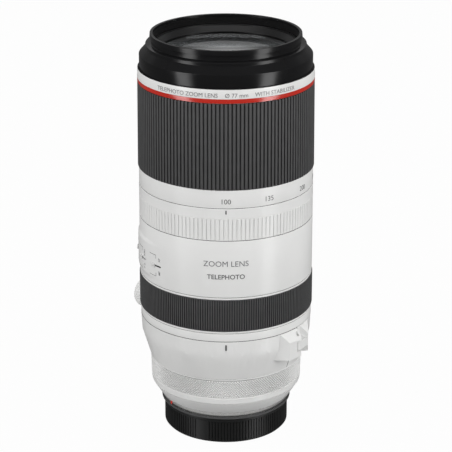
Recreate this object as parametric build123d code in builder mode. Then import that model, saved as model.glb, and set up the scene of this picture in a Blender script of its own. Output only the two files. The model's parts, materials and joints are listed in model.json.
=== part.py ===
from build123d import *
from math import asin, cos, degrees, hypot, radians, sin
import os

# Telephoto zoom lens with a tripod collar, standing on its rear cap.
# Lengths are in millimetres and angles in degrees. The optical axis is Z, with the front up.
# A turn is measured about the optical axis from the index side (-Y) towards +X.

# Clearances
run_gap = 0.1
seat_gap = 0.05
free_gap = 0.3
seam = 0.2
overrun = 1.0
quarter_turn = 90.0
full_turn = 360.0
triple = 3

# Heights of the stacked rings, from the cap's base up
cap_height = 14.9
cap_gap = 0.4
mount_height = 4.0
cover_height = 7.0
control_height = 14.8
collar_height = 23.8
band_height = 4.4
focus_height = 20.2
deck_height = 31.4
tension_height = 17.5
scale_height = 9.7
grip_height = 45.8
red_height = 2.3
name_height = 4.95
front_height = 18.1

mount_face = cap_height + cap_gap
mount_top = mount_face + mount_height
cover_top = mount_top + cover_height
control_low = cover_top + seam
control_top = control_low + control_height
collar_low = control_top + seam
collar_top = collar_low + collar_height
band_low = collar_top + seam
band_top = band_low + band_height
focus_low = band_top + seam
focus_top = focus_low + focus_height
deck_low = focus_top + seam
deck_top = deck_low + deck_height
tension_low = deck_top + seam
tension_top = tension_low + tension_height
scale_low = tension_top + seam
scale_top = scale_low + scale_height
grip_top = scale_top + grip_height
red_low = grip_top + free_gap
red_top = red_low + red_height
name_top = red_top + name_height
front_low = name_top + seat_gap
front_top = front_low + front_height

# Visible radii, set from the barrel's
barrel_radius = 46.55
tension_step = 0.05
scale_step = 0.15
band_step = 0.2
grip_stand = 0.35
focus_stand = 0.3
tension_radius = barrel_radius - tension_step
scale_radius = barrel_radius - scale_step
band_radius = barrel_radius - band_step
grip_radius = barrel_radius + grip_stand
focus_radius = barrel_radius + focus_stand

# Nested tubes, from the tension ring in to the guide barrel
tension_wall = 0.9
neck_wall = 0.8
skirt_wall = 1.0
tube_gap = 0.5
tube_wall = 2.0
cam_wall = 1.2
guide_wall = 1.2
tension_inner = tension_radius - tension_wall
neck_outer = tension_inner - free_gap
neck_inner = neck_outer - neck_wall
skirt_outer = neck_inner - free_gap
skirt_inner = skirt_outer - skirt_wall
tube_outer = skirt_inner - tube_gap
tube_inner = tube_outer - tube_wall
cam_outer = tube_inner - free_gap
cam_inner = cam_outer - cam_wall
guide_outer = cam_inner - free_gap
guide_inner = guide_outer - guide_wall

# Zoom motion
zoom_travel = 83.0
zoom_turn = 118.0
roller_radius = 2.0
roller_shank = 1.2
roller_reach = 1.6
roller_rise = 11.5
skirt_rise = 2.3
slot_margin = 2.5
cam_slot_half = 4.5
cam_slot_margin = 3.0
cam_flange = 3.2
key_radius = 1.3
seal_drop = 4.3
seal_height = 1.6
seal_depth = 0.9
tube_drop = 12.2

# Rear barrel
cover_low_radius = 36.2
control_low_radius = 40.8
control_band_radius = 41.1
control_top_radius = 41.4
control_groove = 0.4
control_band_low = 3.4
control_band_high = 13.8
control_wall = 2.7
barrel_wall = 1.6
collar_lip_height = 8.5
collar_ramp_height = 2.0
focus_seat = 1.85
focus_wall = 1.7
guide_shelf = 6.1
guide_flange = 2.5
cover_lip = 1.7
cover_skirt = 3.2

# Focus ring
lip_height = 1.1
lip_step = 0.1
rubber_depth = 0.75

# Ribbed grips: how many ribs, how deep, and the share of the pitch that each land takes
zoom_ribs = 140
zoom_rib_depth = 0.55
zoom_land_share = 0.62
focus_ribs = 270
focus_rib_depth = 0.35
focus_land_share = 0.5
tension_ribs = 130
tension_rib_depth = 0.3
tension_land_share = 0.72
tension_rib_low = 0.5
tension_rib_high = 11.5
grip_wall = 1.2

# Felt pads of the tension ring
pad_rise = 4.1
pad_height = 7.5
pad_span = 23.0
pad_play = 0.5

# Front ring, with the filter thread and the hood's seat
filter_radius = 38.1
filter_depth = 5.2
rim_radius = 39.7
rim_low_radius = 39.9
rim_height = 2.7
rim_groove = 39.1
rim_groove_height = 2.6
hood_radius = 42.07
hood_height = 1.6
hood_drop = 0.4
cone_height = 3.8
skirt_step = 1.06
front_skirt_inner_gap = 0.1
ledge_radius = 37.6
ledge_height = 2.6
ledge_rise = 1.0
ring_stand = 0.1

# Front lens group
front_glass_radius = 35.4
front_cell_drop = 9.5
glass_edge_drop = 9.5
glass_edge = 7.0
glass_crown = 3.2
glass_back_crown = 2.0
second_edge = 6.3
second_hollow = 2.5
cell_shoulder = 8.4
retainer_nose = 0.8
retainer_step = 0.45
retainer_steps = 4

# Moving groups behind the front group
carrier_plate = 2.5
cell_wall = 3.0
variator_rise = 59.5
variator_height = 11.0
variator_radius = 24.0
variator_hollow = 3.0
relay_rise = 12.5
relay_height = 10.0
relay_radius = 22.0
relay_crown = 1.5
glass_inset = 1.2

# Diaphragm
iris_rise = 3.9
iris_height = 3.6
iris_plate = 0.8
iris_opening = 20.0
iris_rim = 6.3
blade_count = 9
blade_thickness = 0.12
blade_pitch = 0.22
blade_span = 100.0
blade_width = 6.5
blade_gap = 0.5

# Image stabiliser
stabilizer_rise = 4.0
stabilizer_height = 12.0
stabilizer_floor = 2.0
stabilizer_wall = 1.8
shift_plate = 2.0
shift_outer = 33.0
shift_hole = 24.0
shift_radius = 20.0
shift_crown = 0.9
cell_flange = 8.0

# Bulkhead, board, rails and motor behind the guide barrel
bulkhead_drop = 5.9
bulkhead_height = 2.2
bulkhead_hole = 26.5
board_height = 1.2
board_margin = 3.0
rail_radius = 1.4
rail_circle = 30.0
rail_run_gap = 0.06
focus_cell_rise = 24.2
focus_cell_height = 10.0
focus_cell_radius = 24.0
focus_glass_radius = 20.0
focus_crown = 1.4
ear_radius = 3.2
ear_margin = 2.0
motor_rise = 6.0
motor_height = 14.0
motor_depth = 7.0
motor_span = 40.0

# Lens mount
mount_radius = 34.8
mount_edge = 1.0
mount_tube_radius = 25.0
mount_throat = 23.4
mount_tube_height = 4.0
claw_radius = 26.9
claw_height = 1.7
claw_span = 50.0
gasket_width = 0.65
screw_circle = 30.5
screw_count = 4
screw_first_turn = 45.0
screw_radius = 0.9
screw_head = 1.7
screw_head_depth = 1.2
block_depth = 2.2
block_height = 5.4
block_drop = 0.7
block_span = 84.0
pin_count = 12
pin_radius = 0.45
pin_length = 1.6
pin_stand = 0.4
pin_span_share = 0.86

# Rear cell and rear glass
rear_glass_radius = 18.0
rear_cell_wall = 3.0
rear_cell_drop = 2.1
rear_cell_rise = 7.7
rear_flange = 2.4
rear_glass_edge = 5.5
rear_glass_inset = 1.3
rear_crown = 2.5
rear_back_crown = 1.2

# Rear cap
cap_radius = 34.3
cap_foot_radius = 33.4
cap_rib_radius = 33.9
cap_ribs = 130
cap_rib_depth = 0.4
cap_land_share = 0.55
cap_lip = 2.0
cap_foot = 1.0
cap_floor = 1.6
cap_wall = 2.2
cap_ledge = 27.3
cap_ledge_height = 3.3
cap_tab_radius = 25.6
cap_tab_height = 1.2
cap_tab_span = 24.0
cap_pad_turn = -23.5
cap_pad_span = 11.0

# Switches
panel_thickness = 0.7
panel_low = 2.0
panel_height = 22.0
panel_first_turn = -115.0
panel_last_turn = -43.0
switch_turns = {"focus_mode_switch": -52.5, "focus_range_switch": -70.0,
                "stabilizer_switch": -87.5, "stabilizer_mode_switch": -105.0}
switch_rise = 11.1
switch_throw = 4.8
switch_stand = 0.6
stem_span = 2.6
stem_height = 2.6
base_span = 5.4
base_height = 4.2
base_depth = 1.0
slot_play = 0.6

# Tripod collar
collar_break_height = 14.7
collar_break_step = 0.65
collar_low_step = 5.05
collar_top_step = 0.15
collar_wall = 4.4
lip_wall = 2.3
liner_wall = 0.55
liner_margin = 0.9
split_gap = 0.4

# Collar hinge: a lug on each half with a sloped top, and three knuckles on one pin
hinge_turn = 52.0
hinge_reach = 1.7
hinge_stand = 1.9
hinge_root = 3.0
hinge_drop = 14.9
hinge_slope = 4.8
slope_reach_share = 1.6
hinge_pin_radius = 0.9
knuckle_radius = 2.4
knuckle_gap = 0.9
knuckle_play = 0.3
knuckle_rise = 3.7
knuckle_height = 5.0
upper_foot_span = 18.4
upper_corner_span = 9.5
upper_heel_span = 3.5
lower_notch_span = 3.3
lower_corner_span = 10.0
lower_tail_span = 25.0
lower_foot_span = 30.0
lower_tail_drop = 1.0

# Collar latch: boss, forked ear, screw and knob
latch_turn = -130.0
latch_drop = 5.3
boss_reach = 49.5
boss_width = 15.0
boss_height = 10.4
latch_offset = 4.0
ear_thickness = 2.8
ear_tip = 6.0
ear_heel = 10.0
ear_height = 9.0
ear_play = 0.3
ear_gap = 0.15
stud_radius = 2.5
stud_depth = 6.0
knob_radius = 8.5
knob_thickness = 9.0
knob_play = 0.45
knob_crown = 1.2
knob_ribs = 36
knob_rib_depth = 0.35
knob_land_share = 0.55
knob_socket = 4.0

# Foot
foot_reach = 75.0
foot_plate = 6.0
foot_width = 32.0
foot_low = 34.0
foot_high = 96.0
foot_corner = 6.0
foot_edge = 1.2
foot_neck_width = 22.0
foot_neck_low = 43.0
foot_neck_high = 62.5
foot_neck_flare = 4.0
foot_hole_height = 52.0
thread_radius = 2.55
bush_radius = 4.5
bush_depth = 5.0


def radial_plane(turn):
    """Half plane through the optical axis: radius across and height up."""
    bearing = radians(turn - quarter_turn)
    return Plane(origin=(0, 0, 0), x_dir=(cos(bearing), sin(bearing), 0),
                 z_dir=(sin(bearing), -cos(bearing), 0))


def outward_plane(turn, height, reach):
    """Plane that faces away from the optical axis, reach from it."""
    bearing = radians(turn - quarter_turn)
    return Plane(origin=(reach * cos(bearing), reach * sin(bearing), height),
                 x_dir=(-sin(bearing), cos(bearing), 0), z_dir=(cos(bearing), sin(bearing), 0))


def polar(radius, turn):
    """Plan place at a radius and a turn."""
    bearing = radians(turn - quarter_turn)
    return radius * cos(bearing), radius * sin(bearing)


def section(*points, turn=0.0):
    """Half section, as radius and height pairs, in the half plane at a turn."""
    with BuildSketch(radial_plane(turn)) as half:
        with BuildLine():
            Polyline(*points, close=True)
        make_face()
    return half.sketch


def block(inner, outer, low, high, middle, span):
    """Section of a block that follows the barrel, at the block's first edge."""
    return section((inner, low), (outer, low), (outer, high), (inner, high), turn=middle - span / 2)


def lens_section(radius, top_edge, top_centre, low_edge, low_centre):
    """Half section of a lens element with two spherical faces."""
    with BuildSketch(radial_plane(0)) as half:
        with BuildLine():
            Line((0, low_centre), (0, top_centre))
            TangentArc((0, top_centre), (radius, top_edge), tangent=(1, 0))
            Line((radius, top_edge), (radius, low_edge))
            TangentArc((0, low_centre), (radius, low_edge), tangent=(1, 0))
        make_face()
    return half.sketch


def ribbed_ring(level, inner, outer, depth, count, land_share, smooth=()):
    """Ring with ribs all round, drawn at a level. Smooth lists pads as middle and span."""
    pitch = full_turn / count
    flank = pitch * (1 - land_share) / 4
    points = []
    for index in range(count):
        turn = index * pitch
        away = [abs((turn - middle + full_turn / 2) % full_turn - full_turn / 2) for middle, span in smooth]
        padded = any(gap < span / 2 for gap, (middle, span) in zip(away, smooth))
        valley = outer if padded else outer - depth
        points.append(polar(outer, turn - pitch * land_share / 2))
        points.append(polar(outer, turn + pitch * land_share / 2))
        points.append(polar(valley, turn + pitch * land_share / 2 + flank))
        points.append(polar(valley, turn + pitch * (1 - land_share / 2) - flank))
    with BuildSketch(Plane.XY.offset(level)) as ring:
        with BuildLine():
            Polyline(*points, close=True)
        make_face()
        if inner > 0:
            Circle(inner, mode=Mode.SUBTRACT)
    return ring.sketch


# Rear cover: the painted cone between the metal mount and the control ring
barrel_neck = control_low_radius - control_wall - run_gap
barrel_bore = barrel_neck - barrel_wall
cover_bore = mount_radius - cover_lip
with BuildPart() as rear_cover:
    revolve(section((cover_bore, mount_top), (cover_low_radius, mount_top),
                    (control_low_radius - run_gap, cover_top), (barrel_neck + seat_gap, cover_top),
                    (barrel_neck + seat_gap, cover_top - cover_lip),
                    (cover_bore, cover_top - cover_lip - cover_skirt + run_gap)))

# Rear barrel: seats of the control ring, the collar and the focus ring
collar_bore = barrel_radius - collar_top_step - collar_wall
liner_bore = collar_bore - liner_wall
collar_seat = liner_bore - run_gap
lip_bore = barrel_radius - collar_low_step - lip_wall
lip_seat = lip_bore - free_gap
focus_bore = barrel_radius - focus_seat + run_gap
focus_seat_radius = barrel_radius - focus_seat
inner_bore = collar_seat - barrel_wall
shelf_bore = focus_seat_radius - focus_wall
guide_base = band_top + guide_shelf
ramp_low = collar_low + collar_lip_height
ramp_high = ramp_low + collar_ramp_height
with BuildPart() as rear_barrel:
    revolve(section((barrel_bore, cover_top - cover_lip + seat_gap),
                    (barrel_neck, cover_top - cover_lip + seat_gap), (barrel_neck, control_top),
                    (lip_seat, control_top + seat_gap), (lip_seat, ramp_low + free_gap),
                    (collar_seat, ramp_high + free_gap), (collar_seat, band_low), (band_radius, band_low),
                    (band_radius, band_top), (focus_seat_radius, band_top),
                    (focus_seat_radius, deck_low - seat_gap), (shelf_bore, deck_low - seat_gap),
                    (shelf_bore, guide_base), (inner_bore, guide_base),
                    (inner_bore, ramp_high + barrel_wall), (barrel_bore, ramp_low)))

# Switch barrel: the fixed main barrel, with the neck that carries the tension ring
skirt_low = deck_low + skirt_rise
pad_low = tension_low + pad_rise
pad_turns = [full_turn / triple * (index + 1 / 2) for index in range(triple)]
switch_height = deck_low + switch_rise
pocket_floor = barrel_radius - base_depth - run_gap
with BuildPart() as switch_barrel:
    revolve(section((shelf_bore - neck_wall, deck_low), (barrel_radius, deck_low),
                    (barrel_radius, deck_top), (neck_outer, deck_top), (neck_outer, tension_top),
                    (neck_inner, tension_top), (neck_inner, deck_low + barrel_wall),
                    (shelf_bore - neck_wall, deck_low + barrel_wall)))
    for turn in pad_turns:
        revolve(block(neck_inner - overrun, neck_outer + free_gap / 2, pad_low, pad_low + pad_height,
                      turn, pad_span), revolution_arc=pad_span, mode=Mode.SUBTRACT)
    for turn in switch_turns.values():
        pocket_span = base_span + switch_throw + slot_play * 2
        revolve(block(pocket_floor, barrel_radius + overrun, switch_height - base_height / 2 - run_gap,
                      switch_height + base_height / 2 + run_gap, turn, pocket_span),
                revolution_arc=pocket_span, mode=Mode.SUBTRACT)

# Tension pads: felt blocks in the neck's windows, between the tension ring and the zoom sleeve
with BuildPart() as tension_pads:
    for turn in pad_turns:
        revolve(block(skirt_outer + run_gap, tension_inner - run_gap, pad_low + run_gap,
                      pad_low + pad_height - run_gap, turn, pad_span - pad_play),
                revolution_arc=pad_span - pad_play)

# Switch panel: a raised plate that follows the barrel, with a slot for each switch
panel_base = deck_low + panel_low
panel_turn = (panel_first_turn + panel_last_turn) / 2
panel_span = panel_last_turn - panel_first_turn
panel_radius = barrel_radius + seat_gap + panel_thickness
with BuildPart() as switch_panel:
    revolve(block(barrel_radius + seat_gap, panel_radius, panel_base, panel_base + panel_height,
                  panel_turn, panel_span), revolution_arc=panel_span)
    corners = switch_panel.edges().filter_by(lambda edge: edge.length < panel_thickness + seat_gap)
    fillet(corners, foot_edge)
    for turn in switch_turns.values():
        slot_span = stem_span + switch_throw + slot_play * 2
        revolve(block(barrel_radius, panel_radius + overrun, switch_height - stem_height / 2 - run_gap,
                      switch_height + stem_height / 2 + run_gap, turn, slot_span),
                revolution_arc=slot_span, mode=Mode.SUBTRACT)

# Switches: a captive base under the panel, and a finger stem through the slot
switches = {}
for name, turn in switch_turns.items():
    start = turn - switch_throw / 2
    with BuildPart() as switch:
        revolve(block(pocket_floor + run_gap, barrel_radius - run_gap / 2, switch_height - base_height / 2,
                      switch_height + base_height / 2, start, base_span), revolution_arc=base_span)
        revolve(block(barrel_radius - base_depth / 2, panel_radius + switch_stand,
                      switch_height - stem_height / 2, switch_height + stem_height / 2, start, stem_span),
                revolution_arc=stem_span)
    switches[name] = switch

# Guide barrel: the fixed inner tube, with a straight slot for each roller
roller_level = deck_low + roller_rise
roller_turns = [full_turn / triple * index for index in range(triple)]
cam_low = skirt_low
tube_low = roller_level - roller_radius * 2
guide_top = roller_level + zoom_travel + slot_margin * 2
slot_low = roller_level - slot_margin
slot_high = roller_level + zoom_travel + slot_margin
with BuildPart() as guide_barrel:
    revolve(section((guide_inner, guide_base), (shelf_bore - run_gap, guide_base),
                    (shelf_bore - run_gap, guide_base + guide_flange),
                    (guide_outer, guide_base + guide_flange), (guide_outer, guide_top),
                    (guide_inner, guide_top)))
    for turn in roller_turns:
        with BuildSketch(outward_plane(turn, (slot_low + slot_high) / 2, guide_inner - overrun)):
            Rectangle((roller_radius + run_gap) * 2, slot_high - slot_low)
        extrude(amount=guide_wall + overrun * 2, mode=Mode.SUBTRACT)

# Cam barrel: turned by the zoom sleeve, with a helical slot for each roller
key_level = cam_low + cam_flange / 2
helix_length = zoom_travel + cam_slot_margin * 2
helix_turn = zoom_turn * helix_length / zoom_travel
helix_start = -zoom_turn * cam_slot_margin / zoom_travel
helix_low = roller_level - cam_slot_margin
with BuildSketch(Plane.XY.offset(helix_low)) as cam_slot:
    with BuildLine():
        Polyline(polar(cam_inner - overrun, helix_start - cam_slot_half),
                 polar(cam_outer + overrun, helix_start - cam_slot_half),
                 polar(cam_outer + overrun, helix_start + cam_slot_half),
                 polar(cam_inner - overrun, helix_start + cam_slot_half), close=True)
    make_face()
helical_cut = Solid.extrude_linear_with_rotation(cam_slot.sketch.face(), (0, 0, helix_low),
                                                 (0, 0, helix_length), helix_turn)
with BuildPart() as cam_barrel:
    revolve(section((cam_inner, cam_low), (skirt_inner - run_gap, cam_low),
                    (skirt_inner - run_gap, cam_low + cam_flange), (cam_outer, cam_low + cam_flange),
                    (cam_outer, guide_top), (cam_inner, guide_top)))
    for turn in roller_turns:
        add(helical_cut.rotate(Axis.Z, turn), mode=Mode.SUBTRACT)
        with BuildSketch(outward_plane(turn, key_level, cam_outer)):
            Circle(key_radius + seat_gap)
        extrude(amount=skirt_inner, mode=Mode.SUBTRACT)

# Zoom keys: screws that tie the sleeve's skirt to the cam barrel
with BuildPart() as zoom_keys:
    for turn in roller_turns:
        with BuildSketch(outward_plane(turn, key_level, cam_outer + seat_gap)):
            Circle(key_radius)
        extrude(amount=skirt_outer - cam_outer - seat_gap * 2)

# Zoom sleeve: the scale band, the seat of the rubber, and the skirt inside the fixed barrel
rubber_seat = barrel_radius - grip_wall - run_gap
seal_low = grip_top - seal_drop
with BuildPart() as zoom_sleeve:
    revolve(section((skirt_inner, cam_low), (skirt_outer, cam_low), (skirt_outer, scale_low),
                    (scale_radius, scale_low), (scale_radius, scale_top), (rubber_seat, scale_top),
                    (rubber_seat, grip_top), (skirt_inner, grip_top),
                    (skirt_inner, seal_low + seal_height),
                    (skirt_inner + seal_depth, seal_low + seal_height),
                    (skirt_inner + seal_depth, seal_low), (skirt_inner, seal_low)))
    for turn in roller_turns:
        with BuildSketch(outward_plane(turn, key_level, skirt_inner - overrun)):
            Circle(key_radius + seat_gap)
        extrude(amount=skirt_wall + overrun * 2, mode=Mode.SUBTRACT)

# Zoom grip: the ribbed rubber cover
with BuildPart() as zoom_grip:
    extrude(ribbed_ring(scale_top + seat_gap, rubber_seat + seat_gap, grip_radius, zoom_rib_depth,
                        zoom_ribs, zoom_land_share), amount=grip_height - seat_gap * 2)

# Dust seal: felt ring that wipes the extension tube
with BuildPart() as dust_seal:
    revolve(section((tube_outer + run_gap, seal_low + seat_gap),
                    (skirt_inner + seal_depth - seat_gap, seal_low + seat_gap),
                    (skirt_inner + seal_depth - seat_gap, seal_low + seal_height - seat_gap),
                    (tube_outer + run_gap, seal_low + seal_height - seat_gap)))

# Extension tube: slides out of the zoom sleeve and carries the front
tube_top = front_top - tube_drop
with BuildPart() as extension_tube:
    revolve(section((tube_inner, tube_low), (tube_outer, tube_low), (tube_outer, tube_top),
                    (tube_inner, tube_top)))
    for turn in roller_turns:
        with BuildSketch(outward_plane(turn, roller_level, tube_inner - overrun)):
            Circle(roller_shank + seat_gap)
        extrude(amount=tube_wall + overrun * 2, mode=Mode.SUBTRACT)

# Cam rollers: each runs in a straight slot and a helical slot
with BuildPart() as cam_rollers:
    for turn in roller_turns:
        with BuildSketch(outward_plane(turn, roller_level, guide_inner + run_gap)):
            Circle(roller_radius)
        extrude(amount=tube_inner - guide_inner - run_gap * 2)
        with BuildSketch(outward_plane(turn, roller_level, tube_inner - run_gap)):
            Circle(roller_shank)
        extrude(amount=roller_reach)

# Front ring: filter thread, hood seat, cone and skirt
front_radius = barrel_radius - skirt_step
front_bore = tube_outer + front_skirt_inner_gap
rim_low = front_top - rim_height
hood_top = rim_low - rim_groove_height - hood_drop
cone_top = hood_top - hood_height
cone_low = cone_top - cone_height
ledge_top = front_top - filter_depth
with BuildPart() as front_ring:
    revolve(section((filter_radius, front_top), (rim_radius, front_top), (rim_low_radius, rim_low),
                    (rim_groove, rim_low), (rim_groove, hood_top + hood_drop), (hood_radius, hood_top),
                    (hood_radius, cone_top), (front_radius, cone_low), (front_radius, front_low),
                    (front_bore, front_low), (front_bore, tube_top + seat_gap),
                    (tube_inner, cone_low + ledge_rise), (ledge_radius, ledge_top - ledge_height),
                    (ledge_radius, ledge_top), (filter_radius, ledge_top)))
    chamfer(front_ring.edges().group_by(Axis.Z)[-1].sort_by(SortBy.RADIUS)[-1], seam)

# Name ring and red ring, round the extension tube behind the front ring
with BuildPart() as name_ring:
    revolve(section((front_bore, red_top), (barrel_radius + ring_stand / 2, red_top),
                    (barrel_radius - ring_stand * 2, name_top), (front_bore, name_top)))

with BuildPart() as red_ring:
    revolve(section((front_bore, red_low), (barrel_radius, red_low), (barrel_radius, red_top),
                    (front_bore, red_top)))

# Front cell, its two cemented elements and the retaining ring with stepped baffle
glass_top = front_top - glass_edge_drop
glass_low = glass_top - glass_edge
cell_low = front_low - front_cell_drop
cell_top = front_top - cell_shoulder
cell_bore = front_glass_radius + seat_gap
with BuildPart() as front_cell:
    revolve(section((cell_bore, cell_low), (tube_inner - run_gap, cell_low),
                    (tube_inner - run_gap, cone_low - free_gap), (ledge_radius - run_gap, cell_top),
                    (cell_bore, cell_top)))

with BuildPart() as front_glass:
    revolve(lens_section(front_glass_radius, glass_top, glass_top + glass_crown, glass_low,
                         glass_low - glass_back_crown))

with BuildPart() as second_glass:
    revolve(lens_section(front_glass_radius, glass_low - seat_gap, glass_low - glass_back_crown - seat_gap,
                         glass_low - second_edge, glass_low - second_edge + second_hollow))

nose_radius = front_glass_radius - retainer_nose
baffle_top = ledge_top - run_gap
baffle_low = glass_top + glass_crown * retainer_nose * 2 / front_glass_radius + run_gap
stair = [(nose_radius, baffle_low), (cell_bore - run_gap, baffle_low),
         (cell_bore - run_gap, cell_top + seat_gap), (ledge_radius - run_gap, cell_top + seat_gap),
         (ledge_radius - run_gap, baffle_top)]
stair_width = (ledge_radius - retainer_step - nose_radius) / retainer_steps
stair_height = (baffle_top - cell_top - retainer_step) / retainer_steps
for index in range(retainer_steps):
    tread = ledge_radius - retainer_step - stair_width * index
    stair.append((tread, baffle_top - stair_height * index))
    stair.append((tread, baffle_top - stair_height * (index + 1)))
stair.append((nose_radius, baffle_top - stair_height * retainer_steps))
with BuildPart() as front_retainer:
    revolve(section(*stair))


# Lens groups that slide inside the guide barrel
def carrier_section(glass_radius, low, height):
    """Cell with a plate that runs in the guide barrel."""
    bore = glass_radius + seat_gap
    plate = guide_inner - free_gap
    return section((bore, low), (plate, low), (plate, low + carrier_plate),
                   (bore + cell_wall, low + carrier_plate), (bore + cell_wall, low + height),
                   (bore, low + height))


relay_low = deck_low + relay_rise
with BuildPart() as relay_cell:
    revolve(carrier_section(relay_radius, relay_low, relay_height))

with BuildPart() as relay_glass:
    revolve(lens_section(relay_radius, relay_low + relay_height - glass_inset * 2,
                         relay_low + relay_height - glass_inset, relay_low + glass_inset + relay_crown,
                         relay_low + glass_inset))

variator_low = deck_low + variator_rise
with BuildPart() as variator_cell:
    revolve(carrier_section(variator_radius, variator_low, variator_height))

with BuildPart() as variator_glass:
    revolve(lens_section(variator_radius, variator_low + variator_height - glass_inset,
                         variator_low + variator_height - glass_inset - variator_hollow,
                         variator_low + glass_inset, variator_low + glass_inset + variator_hollow))

# Diaphragm: a base with a rim, and overlapping blades held open
iris_low = deck_low + iris_rise
rim_bore = guide_inner - run_gap - iris_rim
with BuildPart() as iris_base:
    revolve(section((iris_opening, iris_low), (guide_inner - run_gap, iris_low),
                    (guide_inner - run_gap, iris_low + iris_height), (rim_bore, iris_low + iris_height),
                    (rim_bore, iris_low + iris_plate), (iris_opening, iris_low + iris_plate)))

with BuildPart() as iris_blades:
    for index in range(blade_count):
        low = iris_low + iris_plate + seat_gap + blade_pitch * index
        inner = iris_opening + blade_gap
        revolve(block(inner, inner + blade_width, low, low + blade_thickness,
                      full_turn / blade_count * index, blade_span), revolution_arc=blade_span)

# Image stabiliser: a fixed base, a frame that shifts across and a cell that shifts along
stabilizer_low = guide_base + stabilizer_rise
stabilizer_outer = guide_inner - run_gap
with BuildPart() as stabilizer_base:
    revolve(section((shift_hole, stabilizer_low), (stabilizer_outer, stabilizer_low),
                    (stabilizer_outer, stabilizer_low + stabilizer_height),
                    (stabilizer_outer - stabilizer_wall, stabilizer_low + stabilizer_height),
                    (stabilizer_outer - stabilizer_wall, stabilizer_low + stabilizer_floor),
                    (shift_hole, stabilizer_low + stabilizer_floor)))

frame_low = stabilizer_low + stabilizer_floor + free_gap
with BuildPart() as shift_frame:
    revolve(section((shift_hole, frame_low), (shift_outer, frame_low),
                    (shift_outer, frame_low + shift_plate), (shift_hole, frame_low + shift_plate)))

shift_low = frame_low + shift_plate + free_gap
shift_high = stabilizer_low + stabilizer_height - glass_inset
shift_bore = shift_radius + seat_gap
with BuildPart() as shift_cell:
    revolve(section((shift_bore, shift_low), (shift_bore + cell_wall + cell_flange, shift_low),
                    (shift_bore + cell_wall + cell_flange, shift_low + shift_plate),
                    (shift_bore + cell_wall, shift_low + shift_plate),
                    (shift_bore + cell_wall, shift_high), (shift_bore, shift_high)))

with BuildPart() as shift_glass:
    revolve(lens_section(shift_radius, shift_high - shift_crown, shift_high, shift_low + shift_crown,
                         shift_low))

# Bulkhead, circuit board, focus rails and motor
bulkhead_low = guide_base - bulkhead_drop
rail_turns = (quarter_turn, -quarter_turn)
with BuildPart() as bulkhead:
    revolve(section((bulkhead_hole, bulkhead_low), (inner_bore - seat_gap, bulkhead_low),
                    (inner_bore - seat_gap, bulkhead_low + bulkhead_height),
                    (bulkhead_hole, bulkhead_low + bulkhead_height)))
    for turn in rail_turns:
        with BuildSketch(Plane.XY.offset(bulkhead_low - overrun)):
            with Locations(polar(rail_circle, turn)):
                Circle(rail_radius + seat_gap)
        extrude(amount=bulkhead_height + overrun * 2, mode=Mode.SUBTRACT)

board_low = bulkhead_low - board_height
with BuildPart() as main_board:
    revolve(section((bulkhead_hole, board_low), (inner_bore - board_margin, board_low),
                    (inner_bore - board_margin, bulkhead_low), (bulkhead_hole, bulkhead_low)))
    for turn in rail_turns:
        with BuildSketch(Plane.XY.offset(board_low - overrun)):
            with Locations(polar(rail_circle, turn)):
                Circle(rail_radius + free_gap)
        extrude(amount=board_height + overrun * 2, mode=Mode.SUBTRACT)

flange_low = mount_top + seat_gap
flange_top = flange_low + rear_flange
with BuildPart() as focus_rails:
    for turn in rail_turns:
        with BuildSketch(Plane.XY.offset(flange_top)):
            with Locations(polar(rail_circle, turn)):
                Circle(rail_radius)
        extrude(amount=bulkhead_low + bulkhead_height - flange_top)

focus_cell_low = flange_top + focus_cell_rise
focus_cell_bore = focus_glass_radius + seat_gap
with BuildPart() as focus_cell:
    revolve(section((focus_cell_bore, focus_cell_low), (focus_cell_radius, focus_cell_low),
                    (focus_cell_radius, focus_cell_low + focus_cell_height),
                    (focus_cell_bore, focus_cell_low + focus_cell_height)))
    with BuildSketch(Plane.XY.offset(focus_cell_low + ear_margin)):
        for turn in rail_turns:
            with Locations(polar(rail_circle, turn)):
                Circle(ear_radius)
            with Locations(polar((rail_circle + focus_glass_radius + cell_wall) / 2, turn)):
                Rectangle(rail_circle - focus_glass_radius - cell_wall, ear_radius * 2)
    extrude(amount=focus_cell_height - ear_margin * 2)
    with BuildSketch(Plane.XY.offset(focus_cell_low)):
        for turn in rail_turns:
            with Locations(polar(rail_circle, turn)):
                Circle(rail_radius + rail_run_gap)
    extrude(amount=focus_cell_height, mode=Mode.SUBTRACT)

with BuildPart() as focus_glass:
    revolve(lens_section(focus_glass_radius, focus_cell_low + focus_cell_height - glass_inset - focus_crown,
                         focus_cell_low + focus_cell_height - glass_inset,
                         focus_cell_low + glass_inset, focus_cell_low + glass_inset + focus_crown))

motor_low = cover_top + motor_rise
with BuildPart() as focus_motor:
    revolve(block(barrel_bore - motor_depth, barrel_bore - seat_gap, motor_low, motor_low + motor_height,
                  0, motor_span), revolution_arc=motor_span)

# Rear cell and the rear element
rear_bore = rear_glass_radius + seat_gap
with BuildPart() as rear_cell:
    revolve(section((rear_bore, mount_top - rear_cell_drop),
                    (rear_bore + rear_cell_wall, mount_top - rear_cell_drop),
                    (rear_bore + rear_cell_wall, flange_low), (cover_bore - run_gap, flange_low),
                    (cover_bore - run_gap, flange_top), (rear_bore + rear_cell_wall, flange_top),
                    (rear_bore + rear_cell_wall, mount_top + rear_cell_rise),
                    (rear_bore, mount_top + rear_cell_rise)))

rear_glass_low = mount_top - rear_cell_drop + rear_glass_inset
with BuildPart() as rear_glass:
    revolve(lens_section(rear_glass_radius, rear_glass_low + rear_glass_edge,
                         rear_glass_low + rear_glass_edge + rear_crown, rear_glass_low,
                         rear_glass_low - rear_back_crown))

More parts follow.
